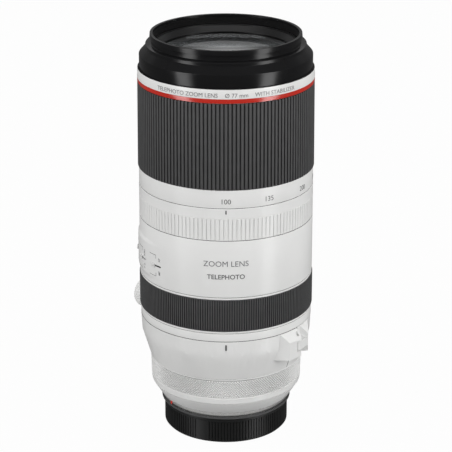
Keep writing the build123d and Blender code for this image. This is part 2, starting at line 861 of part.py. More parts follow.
# Lens mount: flange, bayonet tube and claws, with its screws, gasket and contacts
mount_low = mount_face - mount_tube_height
screw_turns = [screw_first_turn + full_turn / screw_count * index for index in range(screw_count)]
with BuildPart() as mount_ring:
    revolve(section((mount_throat, mount_low), (mount_tube_radius, mount_low),
                    (mount_tube_radius, mount_face), (mount_radius, mount_face),
                    (mount_radius, mount_face + mount_edge), (cover_low_radius - run_gap, mount_top),
                    (mount_throat, mount_top)))
    for index in range(triple):
        revolve(block(mount_tube_radius - seat_gap, claw_radius, mount_low, mount_low + claw_height,
                      full_turn / triple * index, claw_span), revolution_arc=claw_span)
    for turn in screw_turns:
        with BuildSketch(Plane.XY.offset(mount_face)):
            with Locations(polar(screw_circle, turn)):
                Circle(screw_head + seat_gap)
        extrude(amount=screw_head_depth, mode=Mode.SUBTRACT)
        with BuildSketch(Plane.XY.offset(mount_face)):
            with Locations(polar(screw_circle, turn)):
                Circle(screw_radius + seat_gap)
        extrude(amount=mount_height, mode=Mode.SUBTRACT)

with BuildPart() as mount_screws:
    for turn in screw_turns:
        with BuildSketch(Plane.XY.offset(mount_face)):
            with Locations(polar(screw_circle, turn)):
                Circle(screw_head)
        extrude(amount=screw_head_depth - seat_gap)
        with BuildSketch(Plane.XY.offset(mount_face)):
            with Locations(polar(screw_circle, turn)):
                Circle(screw_radius)
        extrude(amount=mount_height)

with BuildPart() as mount_gasket:
    revolve(section((mount_radius + seat_gap, mount_face - seam),
                    (mount_radius + gasket_width, mount_face - seam),
                    (mount_radius + gasket_width, mount_face + mount_edge - seam),
                    (mount_radius + seat_gap, mount_face + mount_edge - seam)))

block_outer = mount_throat - seat_gap
block_low = mount_low - block_drop
block_turn = full_turn / 2
pin_span = block_span * pin_span_share
pin_turns = [block_turn - pin_span / 2 + pin_span * index / (pin_count - 1) for index in range(pin_count)]
with BuildPart() as contact_block:
    revolve(block(block_outer - block_depth, block_outer, block_low, block_low + block_height, block_turn,
                  block_span), revolution_arc=block_span)
    with BuildSketch(Plane.XY.offset(block_low)):
        for turn in pin_turns:
            with Locations(polar(block_outer - block_depth / 2, turn)):
                Circle(pin_radius + seat_gap)
    extrude(amount=pin_length, mode=Mode.SUBTRACT)

with BuildPart() as contact_pins:
    with BuildSketch(Plane.XY.offset(block_low - pin_stand)):
        for turn in pin_turns:
            with Locations(polar(block_outer - block_depth / 2, turn)):
                Circle(pin_radius)
    extrude(amount=pin_length + pin_stand - seat_gap)

# Rear cap: ribbed cup with three tabs, shown in the gaps between the claws
cap_bore = cap_foot_radius - cap_wall
with BuildPart() as rear_cap:
    extrude(ribbed_ring(cap_foot, 0, cap_rib_radius, cap_rib_depth, cap_ribs, cap_land_share,
                        smooth=[(cap_pad_turn + full_turn / triple * index, cap_pad_span)
                                for index in range(triple)]),
            amount=cap_height - cap_lip - cap_foot)
    revolve(section((0, 0), (cap_foot_radius - cap_foot / 2, 0), (cap_foot_radius, cap_foot / 2),
                    (cap_foot_radius, cap_foot), (0, cap_foot)))
    revolve(section((0, cap_height - cap_lip), (cap_radius, cap_height - cap_lip),
                    (cap_radius, cap_height - cap_foot / 2), (cap_radius - cap_foot / 2, cap_height),
                    (0, cap_height)))
    revolve(section((0, cap_floor), (cap_bore, cap_floor), (cap_bore, cap_height - cap_ledge_height),
                    (cap_ledge, cap_height - cap_ledge_height), (cap_ledge, cap_height + overrun),
                    (0, cap_height + overrun)), mode=Mode.SUBTRACT)
    for index in range(triple):
        middle = full_turn / triple * (index + 1 / 2)
        revolve(block(cap_tab_radius, cap_ledge + seat_gap, cap_height - cap_tab_height - seam,
                      cap_height - seam, middle, cap_tab_span), revolution_arc=cap_tab_span)

# Tension ring: plain index band above a ribbed band
rib_low = tension_low + tension_rib_low
rib_high = tension_low + tension_rib_high
with BuildPart() as tension_ring:
    revolve(section((tension_inner, tension_low), (tension_radius, tension_low),
                    (tension_radius, rib_low), (tension_inner, rib_low)))
    extrude(ribbed_ring(rib_low, tension_inner, tension_radius, tension_rib_depth, tension_ribs,
                        tension_land_share), amount=rib_high - rib_low)
    revolve(section((tension_inner, rib_high), (tension_radius, rib_high), (tension_radius, tension_top),
                    (tension_inner, tension_top)))

# Focus ring: sleeve with two lips, and its ribbed rubber cover
lip_radius = barrel_radius - lip_step
focus_rubber_seat = barrel_radius - rubber_depth - run_gap
with BuildPart() as focus_sleeve:
    revolve(section((focus_bore, focus_low), (lip_radius, focus_low),
                    (lip_radius, focus_low + lip_height), (focus_rubber_seat, focus_low + lip_height),
                    (focus_rubber_seat, focus_top - lip_height), (lip_radius, focus_top - lip_height),
                    (lip_radius, focus_top), (focus_bore, focus_top)))

with BuildPart() as focus_grip:
    extrude(ribbed_ring(focus_low + lip_height + seat_gap, focus_rubber_seat + seat_gap, focus_radius,
                        focus_rib_depth, focus_ribs, focus_land_share),
            amount=focus_height - lip_height * 2 - seat_gap * 2)

# Control ring
with BuildPart() as control_ring:
    revolve(section((barrel_neck + run_gap, control_low), (control_low_radius, control_low),
                    (control_band_radius, control_low + control_band_low),
                    (control_top_radius, control_low + control_band_high),
                    (control_top_radius - control_groove,
                     control_low + control_band_high + control_groove),
                    (control_top_radius - control_groove, control_top),
                    (barrel_neck + run_gap, control_top)))

# Tripod collar: two hinged halves on felt liners
collar_break = collar_low + collar_break_height
collar_profile = [(lip_bore, collar_low), (barrel_radius - collar_low_step, collar_low),
                  (barrel_radius - collar_break_step, collar_break),
                  (barrel_radius - collar_top_step, collar_top), (collar_bore, collar_top),
                  (collar_bore, ramp_high), (lip_bore, ramp_low)]
bore_profile = [(0, collar_low - overrun), (lip_bore, collar_low - overrun), (lip_bore, ramp_low),
                (collar_bore, ramp_high), (collar_bore, collar_top + overrun), (0, collar_top + overrun)]
latch_split_turn = latch_turn + degrees(asin(latch_offset * 2 / (collar_bore + barrel_radius)))
gap_turn = degrees(split_gap / collar_bore)
upper_start = latch_split_turn + gap_turn / 2
upper_span = hinge_turn - latch_split_turn - gap_turn
lower_start = hinge_turn + gap_turn / 2
lower_span = full_turn - upper_span - gap_turn * 2

collar_edge = barrel_radius - collar_top_step
hinge_circle = collar_edge + hinge_reach
hinge_radius = hinge_circle + hinge_stand
lug_root = collar_edge - hinge_root
hinge_x, hinge_y = polar(hinge_circle, hinge_turn)
latch_x, latch_y = polar(boss_reach, latch_turn)
latch_level = collar_top - latch_drop
reach_x, reach_y = latch_x - hinge_x, latch_y - hinge_y
reach = hypot(reach_x, reach_y)
latch_plane = Plane(origin=(latch_x, latch_y, latch_level), x_dir=(-reach_y / reach, reach_x / reach, 0),
                    z_dir=(reach_x / reach, reach_y / reach, 0))
hinge_low = collar_top - hinge_drop
middle_low = hinge_low + knuckle_rise
middle_high = middle_low + knuckle_height
slope_run = (hinge_radius - collar_edge) * slope_reach_share
slope_profile = [(collar_edge, collar_top),
                 (collar_edge + slope_run, collar_top - hinge_slope * slope_reach_share),
                 (collar_edge + slope_run, collar_top + overrun), (collar_edge, collar_top + overrun)]
pin_share = (hinge_reach + hinge_pin_radius) / (hinge_reach + hinge_stand)
pin_high = collar_top - hinge_slope * pin_share - seat_gap


def pin_disc(radius, level):
    """Disc about the hinge pin."""
    with BuildSketch(Plane.XY.offset(level)) as disc:
        with Locations((hinge_x, hinge_y)):
            Circle(radius)
    return disc.sketch


def lug_points(*places):
    """Plan places from radii and turns counted from the hinge pin."""
    return [polar(radius, hinge_turn + span) for radius, span in places]


with BuildPart() as upper_lug:
    with BuildSketch(Plane.XY.offset(hinge_low)):
        with Locations((hinge_x, hinge_y)):
            Circle(knuckle_radius)
        with BuildLine():
            Polyline(*lug_points((lug_root, -upper_foot_span), (hinge_radius, -upper_corner_span),
                                 (hinge_radius, -upper_heel_span), (lug_root, -upper_heel_span)),
                     close=True)
        make_hull()
    extrude(amount=hinge_drop)
    revolve(section(*slope_profile), mode=Mode.SUBTRACT)

with BuildPart() as lower_lug:
    with BuildSketch(Plane.XY.offset(hinge_low)):
        with BuildLine():
            Polyline(*lug_points((lug_root, lower_notch_span), (hinge_radius, lower_corner_span),
                                 (collar_edge - lower_tail_drop, lower_tail_span),
                                 (lug_root, lower_foot_span)), close=True)
        make_face()
    extrude(amount=hinge_drop)
    with BuildSketch(Plane.XY.offset(middle_low)):
        with Locations((hinge_x, hinge_y)):
            Circle(knuckle_radius)
        with BuildLine():
            Polyline(*lug_points((lug_root, lower_notch_span), (hinge_radius, lower_corner_span),
                                 (lug_root, lower_corner_span)), close=True)
        make_hull()
    extrude(amount=knuckle_height)
    revolve(section(*slope_profile), mode=Mode.SUBTRACT)

heel_width = ear_heel - latch_offset - split_gap
with BuildPart() as collar_upper:
    revolve(section(*collar_profile, turn=upper_start), revolution_arc=upper_span)
    add(upper_lug.part)
    extrude(pin_disc(knuckle_radius + knuckle_gap, middle_low - knuckle_play),
            amount=knuckle_height + knuckle_play * 2, mode=Mode.SUBTRACT)
    with BuildSketch(latch_plane.offset(ear_gap)):
        with Locations(((ear_heel - ear_tip) / 2, 0)):
            Rectangle(ear_tip + ear_heel, ear_height)
    extrude(amount=ear_thickness)
    with BuildSketch(latch_plane.offset(ear_gap + ear_thickness)):
        with Locations((ear_heel - heel_width / 2, 0)):
            Rectangle(heel_width, ear_height)
    extrude(amount=-collar_wall * 2)
    with BuildSketch(latch_plane.offset(-run_gap)):
        with Locations((-ear_tip / 2, 0)):
            Rectangle(ear_tip + overrun, (stud_radius + ear_play) * 2)
        Circle(stud_radius + ear_play)
    extrude(amount=ear_thickness + overrun, mode=Mode.SUBTRACT)
    revolve(section(*bore_profile), mode=Mode.SUBTRACT)
    extrude(pin_disc(hinge_pin_radius + seat_gap, hinge_low - overrun), amount=hinge_drop + overrun * 2,
            mode=Mode.SUBTRACT)

foot_face = foot_reach - foot_plate
foot_middle = (foot_low + foot_high) / 2
with BuildPart() as collar_lower:
    revolve(section(*collar_profile, turn=lower_start), revolution_arc=lower_span)
    add(lower_lug.part)
    extrude(pin_disc(knuckle_radius + knuckle_gap, hinge_low - overrun),
            amount=knuckle_rise + overrun, mode=Mode.SUBTRACT)
    extrude(pin_disc(knuckle_radius + knuckle_gap, middle_high),
            amount=collar_top - middle_high + overrun, mode=Mode.SUBTRACT)
    with BuildSketch(latch_plane):
        with Locations((latch_offset - split_gap - boss_width / 2, 0)):
            Rectangle(boss_width, boss_height)
    extrude(amount=-collar_wall * 2)
    with BuildSketch(Plane.YZ):
        with BuildLine():
            Polyline((collar_seat, foot_neck_low),
                     (foot_face + seat_gap, foot_neck_low - foot_neck_flare),
                     (foot_face + seat_gap, foot_neck_high + foot_neck_flare),
                     (collar_seat, foot_neck_high), close=True)
        make_face()
    extrude(amount=foot_neck_width / 2, both=True)
    with BuildSketch(Plane.XZ.offset(-foot_face)):
        with Locations((0, foot_middle)):
            RectangleRounded(foot_width, foot_high - foot_low, foot_corner)
    extrude(amount=-foot_plate)
    chamfer(collar_lower.faces().sort_by(Axis.Y)[-1].edges(), foot_edge)
    revolve(section(*bore_profile), mode=Mode.SUBTRACT)
    extrude(pin_disc(hinge_pin_radius + seat_gap, middle_low - overrun),
            amount=middle_high - middle_low + overrun * 2, mode=Mode.SUBTRACT)
    with BuildSketch(latch_plane.offset(-stud_depth)):
        Circle(stud_radius + seat_gap)
    extrude(amount=stud_depth + overrun, mode=Mode.SUBTRACT)
    with BuildSketch(Plane.XZ.offset(-foot_reach)):
        with Locations((0, foot_hole_height)):
            Circle(bush_radius + seat_gap)
    extrude(amount=bush_depth, mode=Mode.SUBTRACT)

# Bush with the tripod thread, set flush in the foot
with BuildPart() as foot_bush:
    with BuildSketch(Plane.XZ.offset(-foot_reach)):
        with Locations((0, foot_hole_height)):
            Circle(bush_radius)
            Circle(thread_radius, mode=Mode.SUBTRACT)
    extrude(amount=bush_depth - seat_gap)

with BuildPart() as hinge_pin:
    extrude(pin_disc(hinge_pin_radius, hinge_low), amount=pin_high - hinge_low)

# Felt liners
liner_low = ramp_high + liner_margin
liner_high = collar_top - liner_margin
liner_outer = collar_bore - seat_gap
with BuildPart() as collar_liner_lower:
    revolve(section((liner_bore, liner_low), (liner_outer, liner_low), (liner_outer, liner_high),
                    (liner_bore, liner_high), turn=lower_start), revolution_arc=lower_span)

with BuildPart() as collar_liner_upper:
    revolve(section((liner_bore, liner_low), (liner_outer, liner_low), (liner_outer, liner_high),
                    (liner_bore, liner_high), turn=upper_start), revolution_arc=upper_span)

# Locking knob and its stud
knob_low = ear_gap + ear_thickness + knob_play
with BuildPart() as lock_knob:
    with BuildSketch(latch_plane.offset(knob_low)):
        with BuildLine():
            points = []
            pitch = full_turn / knob_ribs
            for index in range(knob_ribs):
                points.append(polar(knob_radius, pitch * (index - knob_land_share / 2)))
                points.append(polar(knob_radius, pitch * (index + knob_land_share / 2)))
                points.append(polar(knob_radius - knob_rib_depth, pitch * (index + 1 / 2)))
            Polyline(*points, close=True)
        make_face()
    extrude(amount=knob_thickness - knob_crown)
    with BuildSketch(latch_plane.offset(knob_low + knob_thickness - knob_crown)):
        Circle(knob_radius - knob_rib_depth)
    extrude(amount=knob_crown, taper=quarter_turn / 2)
    with BuildSketch(latch_plane.offset(knob_low)):
        Circle(stud_radius + seat_gap)
    extrude(amount=knob_socket, mode=Mode.SUBTRACT)

with BuildPart() as knob_stud:
    with BuildSketch(latch_plane.offset(-stud_depth + seat_gap)):
        Circle(stud_radius)
    extrude(amount=stud_depth + knob_low + knob_socket - seat_gap * 2)

pieces = {"rear_cover": rear_cover, "rear_barrel": rear_barrel, "switch_barrel": switch_barrel,
          "switch_panel": switch_panel, "tension_pads": tension_pads, "guide_barrel": guide_barrel,
          "bulkhead": bulkhead, "main_board": main_board, "focus_rails": focus_rails,
          "focus_motor": focus_motor, "rear_cell": rear_cell, "rear_glass": rear_glass,
          "stabilizer_base": stabilizer_base, "iris_base": iris_base, "iris_blades": iris_blades,
          "mount_ring": mount_ring, "mount_screws": mount_screws, "mount_gasket": mount_gasket,
          "contact_block": contact_block, "contact_pins": contact_pins, "zoom_sleeve": zoom_sleeve,
          "zoom_grip": zoom_grip, "cam_barrel": cam_barrel, "zoom_keys": zoom_keys,
          "dust_seal": dust_seal, "extension_tube": extension_tube, "front_ring": front_ring,
          "name_ring": name_ring, "red_ring": red_ring, "front_cell": front_cell,
          "front_glass": front_glass, "second_glass": second_glass, "front_retainer": front_retainer,
          "cam_rollers": cam_rollers, "variator_cell": variator_cell, "variator_glass": variator_glass,
          "relay_cell": relay_cell, "relay_glass": relay_glass, "focus_cell": focus_cell,
          "focus_glass": focus_glass, "shift_frame": shift_frame, "shift_cell": shift_cell,
          "shift_glass": shift_glass, "tension_ring": tension_ring, "focus_sleeve": focus_sleeve,
          "focus_grip": focus_grip, "control_ring": control_ring, "collar_lower": collar_lower,
          "foot_bush": foot_bush, "collar_liner_lower": collar_liner_lower, "hinge_pin": hinge_pin,
          "collar_upper": collar_upper, "collar_liner_upper": collar_liner_upper, "lock_knob": lock_knob,
          "knob_stud": knob_stud, "rear_cap": rear_cap, **switches}
for name, piece in pieces.items():
    piece.part.label = name
    export_step(piece.part, f"parts/{name}.step")
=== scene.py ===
import json
from math import ceil, cos, pi, radians, sin

import bmesh
import bpy
from bpy.props import (FloatProperty, FloatVectorProperty, IntProperty, PointerProperty,
                       StringProperty)
from mathutils import Matrix, Vector


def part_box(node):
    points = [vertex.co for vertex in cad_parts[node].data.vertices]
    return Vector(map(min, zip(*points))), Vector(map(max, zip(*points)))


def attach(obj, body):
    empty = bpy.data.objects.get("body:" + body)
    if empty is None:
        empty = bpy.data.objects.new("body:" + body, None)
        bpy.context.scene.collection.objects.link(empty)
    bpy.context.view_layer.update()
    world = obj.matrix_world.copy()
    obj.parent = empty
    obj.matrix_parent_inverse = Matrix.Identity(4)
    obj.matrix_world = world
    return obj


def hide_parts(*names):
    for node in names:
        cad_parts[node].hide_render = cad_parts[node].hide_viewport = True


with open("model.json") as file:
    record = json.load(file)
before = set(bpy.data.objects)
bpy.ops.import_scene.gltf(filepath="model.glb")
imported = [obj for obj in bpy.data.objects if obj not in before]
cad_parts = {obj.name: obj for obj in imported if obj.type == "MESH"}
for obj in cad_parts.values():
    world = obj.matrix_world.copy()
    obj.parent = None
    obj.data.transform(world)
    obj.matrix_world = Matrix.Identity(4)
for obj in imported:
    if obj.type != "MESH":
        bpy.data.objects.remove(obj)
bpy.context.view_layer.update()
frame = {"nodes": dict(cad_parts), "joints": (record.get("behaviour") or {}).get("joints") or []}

bl_info = {
    "name": "Telephoto Zoom Lens",
    "version": (1, 0, 0),
    "blender": (4, 5, 0),
    "location": "View3D > Sidebar > Zoom Lens",
    "description": "Builds the visible pieces and finishes of a telephoto zoom lens round its frame",
    "category": "Object",
}

# A turn is an angle about the optical axis (Z) from the index side (-Y) towards +X
MM = 0.001
FULL_TURN = 2 * pi
SHARP_ANGLE = radians(32)
PLAIN_COLUMNS = 192
WRAP_STEP = radians(2)
EASE_STEPS = 3
EASE_LIMIT = 0.45
PRINT_LIFT = 0.012 * MM
PRINT_THICKNESS = 0.03 * MM
CAPITAL_SHARE = 0.70
BAR_CORNER = 0.2
SEAT_GAP = 0.05 * MM
RUN_GAP = 0.1 * MM
TURN_GAP = 0.2 * MM
SUNK = "sunk"
LAND_CROWN = -0.06
RUN_OUT = 0.35
END_FACING = 0.72
SENSOR_WIDTH = 36.0

# Focal length figures with their turns in degrees
FOCAL_TURNS = {"100": -0.2, "135": 28.6, "200": 59.3, "300": 85.0, "400": 103.0, "500": 118.0}
# Switches in their order from the front, each with its upper and lower word
SWITCH_WORDS = {"focus_mode_switch": ("AF", "MF"), "focus_range_switch": ("FULL", "3 m"),
                "stabilizer_switch": ("ON", "OFF"), "stabilizer_mode_switch": ("1", "2")}


def in_mm(*sizes):
    """Sizes given in millimetres, as metres."""
    return [size * MM for size in sizes]


def length(title, note, default):
    """Property for a length, given in millimetres."""
    return FloatProperty(name=title, description=note, default=default * MM, subtype="DISTANCE",
                         unit="LENGTH", precision=5)


def angle(title, note, default):
    """Property for an angle, given in degrees."""
    return FloatProperty(name=title, description=note, default=radians(default), subtype="ANGLE",
                         unit="ROTATION")


def share(title, note, default):
    """Property for a share between none and all."""
    return FloatProperty(name=title, description=note, default=default, min=0, max=1, subtype="FACTOR")


def colour(title, note, default):
    """Property for a linear colour."""
    return FloatVectorProperty(name=title, description=note, default=default, size=3, min=0, max=1,
                               subtype="COLOR")


def whole(title, note, default, **limits):
    """Property for a whole number."""
    return IntProperty(name=title, description=note, default=default, **limits)


def amount(title, note, default):
    """Property for a plain number."""
    return FloatProperty(name=title, description=note, default=default)


def wording(title, note, default):
    """Property for printed words."""
    return StringProperty(name=title, description=note, default=default)


def low_of(node):
    """Height of a node's lowest point."""
    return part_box(node)[0].z


def high_of(node):
    """Height of a node's highest point."""
    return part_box(node)[1].z


def radius_of(node):
    """Outer radius of a round node on the optical axis."""
    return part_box(node)[1].x


def ring_of(node):
    """Outer radius, lowest and highest point of a round node on the optical axis."""
    return radius_of(node), low_of(node), high_of(node)


class FrontSizes(bpy.types.PropertyGroup):
    """Sizes of the front ring, its thread and the baffle round the front glass"""

    thread_radius: length("Thread Radius", "Bore of the filter thread", 38.1)
    thread_depth: length("Thread Depth", "Depth of the filter thread below the rim", 5.2)
    thread_pitch: length("Thread Pitch", "Height of one turn of the filter thread", 0.75)
    thread_cut: length("Thread Cut", "How deep the thread is cut into the rim", 0.36)
    rim_radius: length("Rim Radius", "Outer radius at the very front", 39.7)
    rim_low_radius: length("Rim Low Radius", "Outer radius above the groove", 39.9)
    rim_height: length("Rim Height", "Height of the rim above its groove", 2.7)
    groove_radius: length("Groove Radius", "Radius at the bottom of the groove", 39.1)
    hood_radius: length("Hood Seat Radius", "Outer radius of the hood's seat", 42.07)
    hood_drop: length("Hood Seat Drop", "Height of the rim above the hood's seat", 5.7)
    hood_height: length("Hood Seat Height", "Height of the hood's seat", 1.6)
    cone_height: length("Cone Height", "Height of the cone behind the hood's seat", 3.8)
    ledge_radius: length("Ledge Radius", "Bore below the filter thread", 37.6)
    ease: length("Edge Rounding", "Rounding of the moulded edges", 0.22)
    baffle_land: length("Baffle Land", "Width of the baffle's flat top", 0.75)
    baffle_groove: length("Baffle Groove", "Width and depth of the groove inside its flat top", 0.55)
    baffle_lip: length("Baffle Lip", "Width of the lip next to the glass", 0.3)
    baffle_nose: length("Baffle Nose", "How far the baffle reaches in over the glass", 0.8)
    glass_columns: whole("Glass Columns", "Divisions round a lens face", 160, min=16)
    glass_rows: whole("Glass Rows", "Divisions from the centre to the edge", 28, min=4)
    glass_crown: length("Glass Crown", "Rise of the front face at its centre", 3.2)
    glass_hollow: length("Glass Back Crown", "Drop of the back face at its centre", 2.0)


class RibSizes(bpy.types.PropertyGroup):
    """Ribs of the turning rings"""

    zoom_count: whole("Zoom Ribs", "Ribs round the zoom ring", 140)
    zoom_depth: length("Zoom Rib Depth", "Depth of the zoom ring's grooves", 0.6)
    zoom_land: share("Zoom Land", "Share of the pitch that each land takes", 0.56)
    zoom_taper: length("Zoom Taper", "How much the rubber narrows towards the front", 0.35)
    focus_count: whole("Focus Ribs", "Ribs round the focus ring", 228)
    focus_depth: length("Focus Rib Depth", "Depth of the focus ring's grooves", 0.6)
    focus_land: share("Focus Land", "Share of the pitch that each land takes", 0.5)
    tension_count: whole("Tension Ribs", "Ribs round the tension ring", 130)
    tension_depth: length("Tension Rib Depth", "Depth of the tension ring's grooves", 0.3)
    tension_land: share("Tension Land", "Share of the pitch that each land takes", 0.8)
    tension_band: length("Tension Ribbed Height", "Height of the ribbed band", 11.0)
    cap_count: whole("Cap Ribs", "Ribs round the rear cap", 130)
    cap_depth: length("Cap Rib Depth", "Depth of the cap's grooves", 0.42)
    cap_land: share("Cap Land", "Share of the pitch that each land takes", 0.55)
    knurl_count: whole("Knurl Count", "Diamonds round the control ring", 190)
    knurl_rows: whole("Knurl Rows", "Diamonds up the control ring", 7)
    knurl_depth: length("Knurl Depth", "Depth of the knurl", 0.5)
    knurl_groove: length("Knurl Groove", "Depth of the groove above the knurl", 0.8)
    knurl_gap: length("Knurl Gap", "Height of the groove above the knurl", 0.35)
    knob_count: whole("Knob Ribs", "Ribs round the locking knob", 36)
    knob_depth: length("Knob Rib Depth", "Depth of the knob's grooves", 0.4)


class LetterSizes(bpy.types.PropertyGroup):
    """Words and marks printed on the barrel"""

    name_words: wording("Name Ring Words", "Plain words round the front band",
                        "TELEPHOTO ZOOM LENS    Ø 77 mm    WITH STABILIZER")
    name_height: length("Name Ring Letters", "Height of the capitals round the front band", 2.15)
    title_words: wording("Title", "Word on the main barrel", "ZOOM LENS")
    title_height: length("Title Letters", "Height of the title's capitals", 3.0)
    range_words: wording("Second Line", "Second line on the main barrel", "TELEPHOTO")
    range_height: length("Second Line Letters", "Height of the second line's capitals", 2.5)
    scale_height: length("Scale Figures", "Height of the focal length figures", 2.6)
    title_rise: length("Title Rise", "Height of the title over the barrel's end", 18.7)
    range_rise: length("Second Line Rise", "Height of the second line over the barrel's end", 11.5)
    weight: share("Weight", "How bold the small words are", 0.018)
    switch_height: length("Switch Letters", "Height of the words at the switches", 1.3)
    bar_width: length("Index Width", "Width of the index bars", 0.75)
    line_width: length("Line Width", "Width of the fine lines", 0.22)


class SwitchSizes(bpy.types.PropertyGroup):
    """Switch plate, its slots and buttons, and the lines round them"""

    plate_turn: angle("Plate Turn", "Turn of the plate's middle", -79.0)
    plate_span: angle("Plate Span", "Turn that the plate covers", 72.0)
    plate_rise: length("Plate Rise", "Height of the plate over the barrel", 0.72)
    plate_corner: length("Plate Corner", "Rounding of the plate's corners", 2.2)
    plate_rows: length("Plate Rows", "Step of the plate's mesh up the barrel", 0.55)
    front_ease: angle("Front Ease", "Turn over which the plate rises at its front edge", 27.0)
    back_ease: angle("Back Ease", "Turn over which the plate rises at its back edge", 6.0)
    edge_ease: length("Edge Ease", "Height over which the plate rises at its other edges", 2.6)
    first_turn: angle("First Switch", "Turn of the first switch's slot", -52.5)
    switch_step: angle("Switch Step", "Turn between two switches", 17.5)
    slot_width: length("Slot Width", "Width of a slot", 8.3)
    slot_height: length("Slot Height", "Height of a slot", 0.85)
    button_width: length("Button Width", "Width of a button", 3.2)
    button_height: length("Button Height", "Height of a button", 2.1)
    button_rise: length("Button Rise", "Thickness of a button", 0.6)
    button_corner: length("Button Corner", "Rounding of a button's corners", 0.55)
    button_ease: length("Button Ease", "Rounding of a button's edge", 0.18)
    ridge_width: length("Ridge Width", "Width of the ridges on a button", 0.3)
    ridge_step: length("Ridge Step", "From one ridge to the next", 0.75)
    word_reach: length("Word Reach", "From a switch's middle across to its words", 3.0)
    word_rise: length("Word Rise", "From a switch's middle up or down to its words", 3.7)
    bracket_width: length("Bracket Width", "Length of a bracket line", 5.6)
    bracket_reach: length("Bracket Reach", "From a switch's middle back to a bracket's middle", 2.6)
    bracket_rise: length("Bracket Rise", "From a switch's middle up or down to a bracket", 5.9)
    bracket_tick: length("Bracket Tick", "Height of a bracket's tick", 1.9)


class LensColours(bpy.types.PropertyGroup):
    """Colours of the finishes"""

    enamel: colour("White Enamel", "Satin enamel of the barrel", (0.70, 0.70, 0.692))
    red: colour("Red Enamel", "Line round the front", (0.47, 0.022, 0.012))
    rubber: colour("Rubber", "Ribbed grips", (0.058, 0.058, 0.059))
    shell: colour("Front Shell", "Moulded front ring", (0.0070, 0.0070, 0.0074))
    cap: colour("Cap", "Moulded rear cap", (0.0085, 0.0088, 0.0088))
    ink: colour("Ink", "Printed figures", (0.050, 0.050, 0.052))
    metal: colour("Mount Metal", "Turned metal of the mount", (0.46, 0.46, 0.45))
    anodised: colour("Anodised", "Black anodised inner parts", (0.016, 0.016, 0.018))
    brass: colour("Brass", "Rollers and contacts", (0.68, 0.47, 0.17))
    felt: colour("Felt", "Pads and liners", (0.018, 0.018, 0.019))
    board: colour("Board", "Circuit board", (0.010, 0.090, 0.042))
    glass: colour("Glass", "Tint of the glass", (0.50, 0.52, 0.53))
    # Painted shade: the dark finish that stands in for the shade deep in seams, joints and slots
    seam: colour("Seam", "Ends of the rings inside their seams", (0.012, 0.012, 0.012))


class StageSettings(bpy.types.PropertyGroup):
    """Camera, floor and lamps"""

    distance: length("Camera Distance", "From the camera to the point it looks at", 1010.73)
    aim_height: length("Aim Height", "Height of the point the camera looks at", 113.3)
    pitch: angle("Camera Pitch", "How far the camera looks down", 20.23266)
    lens: amount("Focal Length", "Camera lens in millimetres", 149.249)
    floor: colour("Floor", "Pale floor", (0.17, 0.17, 0.17))
    floor_glow: share("Floor Glow", "Share of plain white that the camera sees in the floor", 0.98)
    ambient: amount("Ambient", "Strength of the surrounding light", 0.54)
    dark_level: share("Dark Level", "Brightness of the studio where there is no backdrop", 0.12)
    table_level: share("Table Level", "Brightness that polished pieces show of the table", 0.45)
    side_angle: angle("Side Lamp Angle", "Turn of the side lamps from the camera", 57.0)
    side_distance: length("Side Lamp Distance", "From the optical axis to a side lamp", 1600)
    side_width: length("Side Lamp Width", "Width of a side lamp", 550)
    side_height: length("Side Lamp Height", "Height of a side lamp", 2800)
    left_power: amount("Left Power", "Left lamp in watts", 38.5)
    right_power: amount("Right Power", "Right lamp in watts", 43.5)
    top_power: amount("Top Power", "Top lamp in watts", 7.0)
    top_size: length("Top Lamp Size", "Side of the square top lamp", 1200)
    top_height: length("Top Lamp Height", "Height of the top lamp", 1500)
    top_back: length("Top Lamp Setback", "From the optical axis back to the top lamp", 250)


class Field:
    """Shader socket that takes part in Python expressions"""

    def __init__(self, tree, socket):
        self.tree = tree
        self.socket = socket

    def math(self, operation, *values):
        """Math node of these values, as a new field."""
        node = self.tree.nodes.new("ShaderNodeMath")
        node.operation = operation
        for place, value in enumerate(values):
            feed(self.tree, node.inputs[place], value)
        return Field(self.tree, node.outputs[0])

    def __add__(self, other):
        return self.math("ADD", self, other)

    def __radd__(self, other):
        return self.math("ADD", other, self)

    def __sub__(self, other):
        return self.math("SUBTRACT", self, other)

    def __rsub__(self, other):
        return self.math("SUBTRACT", other, self)

    def __mul__(self, other):
        return self.math("MULTIPLY", self, other)

    def __rmul__(self, other):
        return self.math("MULTIPLY", other, self)


def feed(tree, socket, value):
    """Link a field to a socket, or set the socket's own value."""
    if isinstance(value, Field):
        tree.links.new(value.socket, socket)
    elif hasattr(value, "__len__") and len(value) < len(socket.default_value):
        socket.default_value = (*value, 1)
    else:
        socket.default_value = value


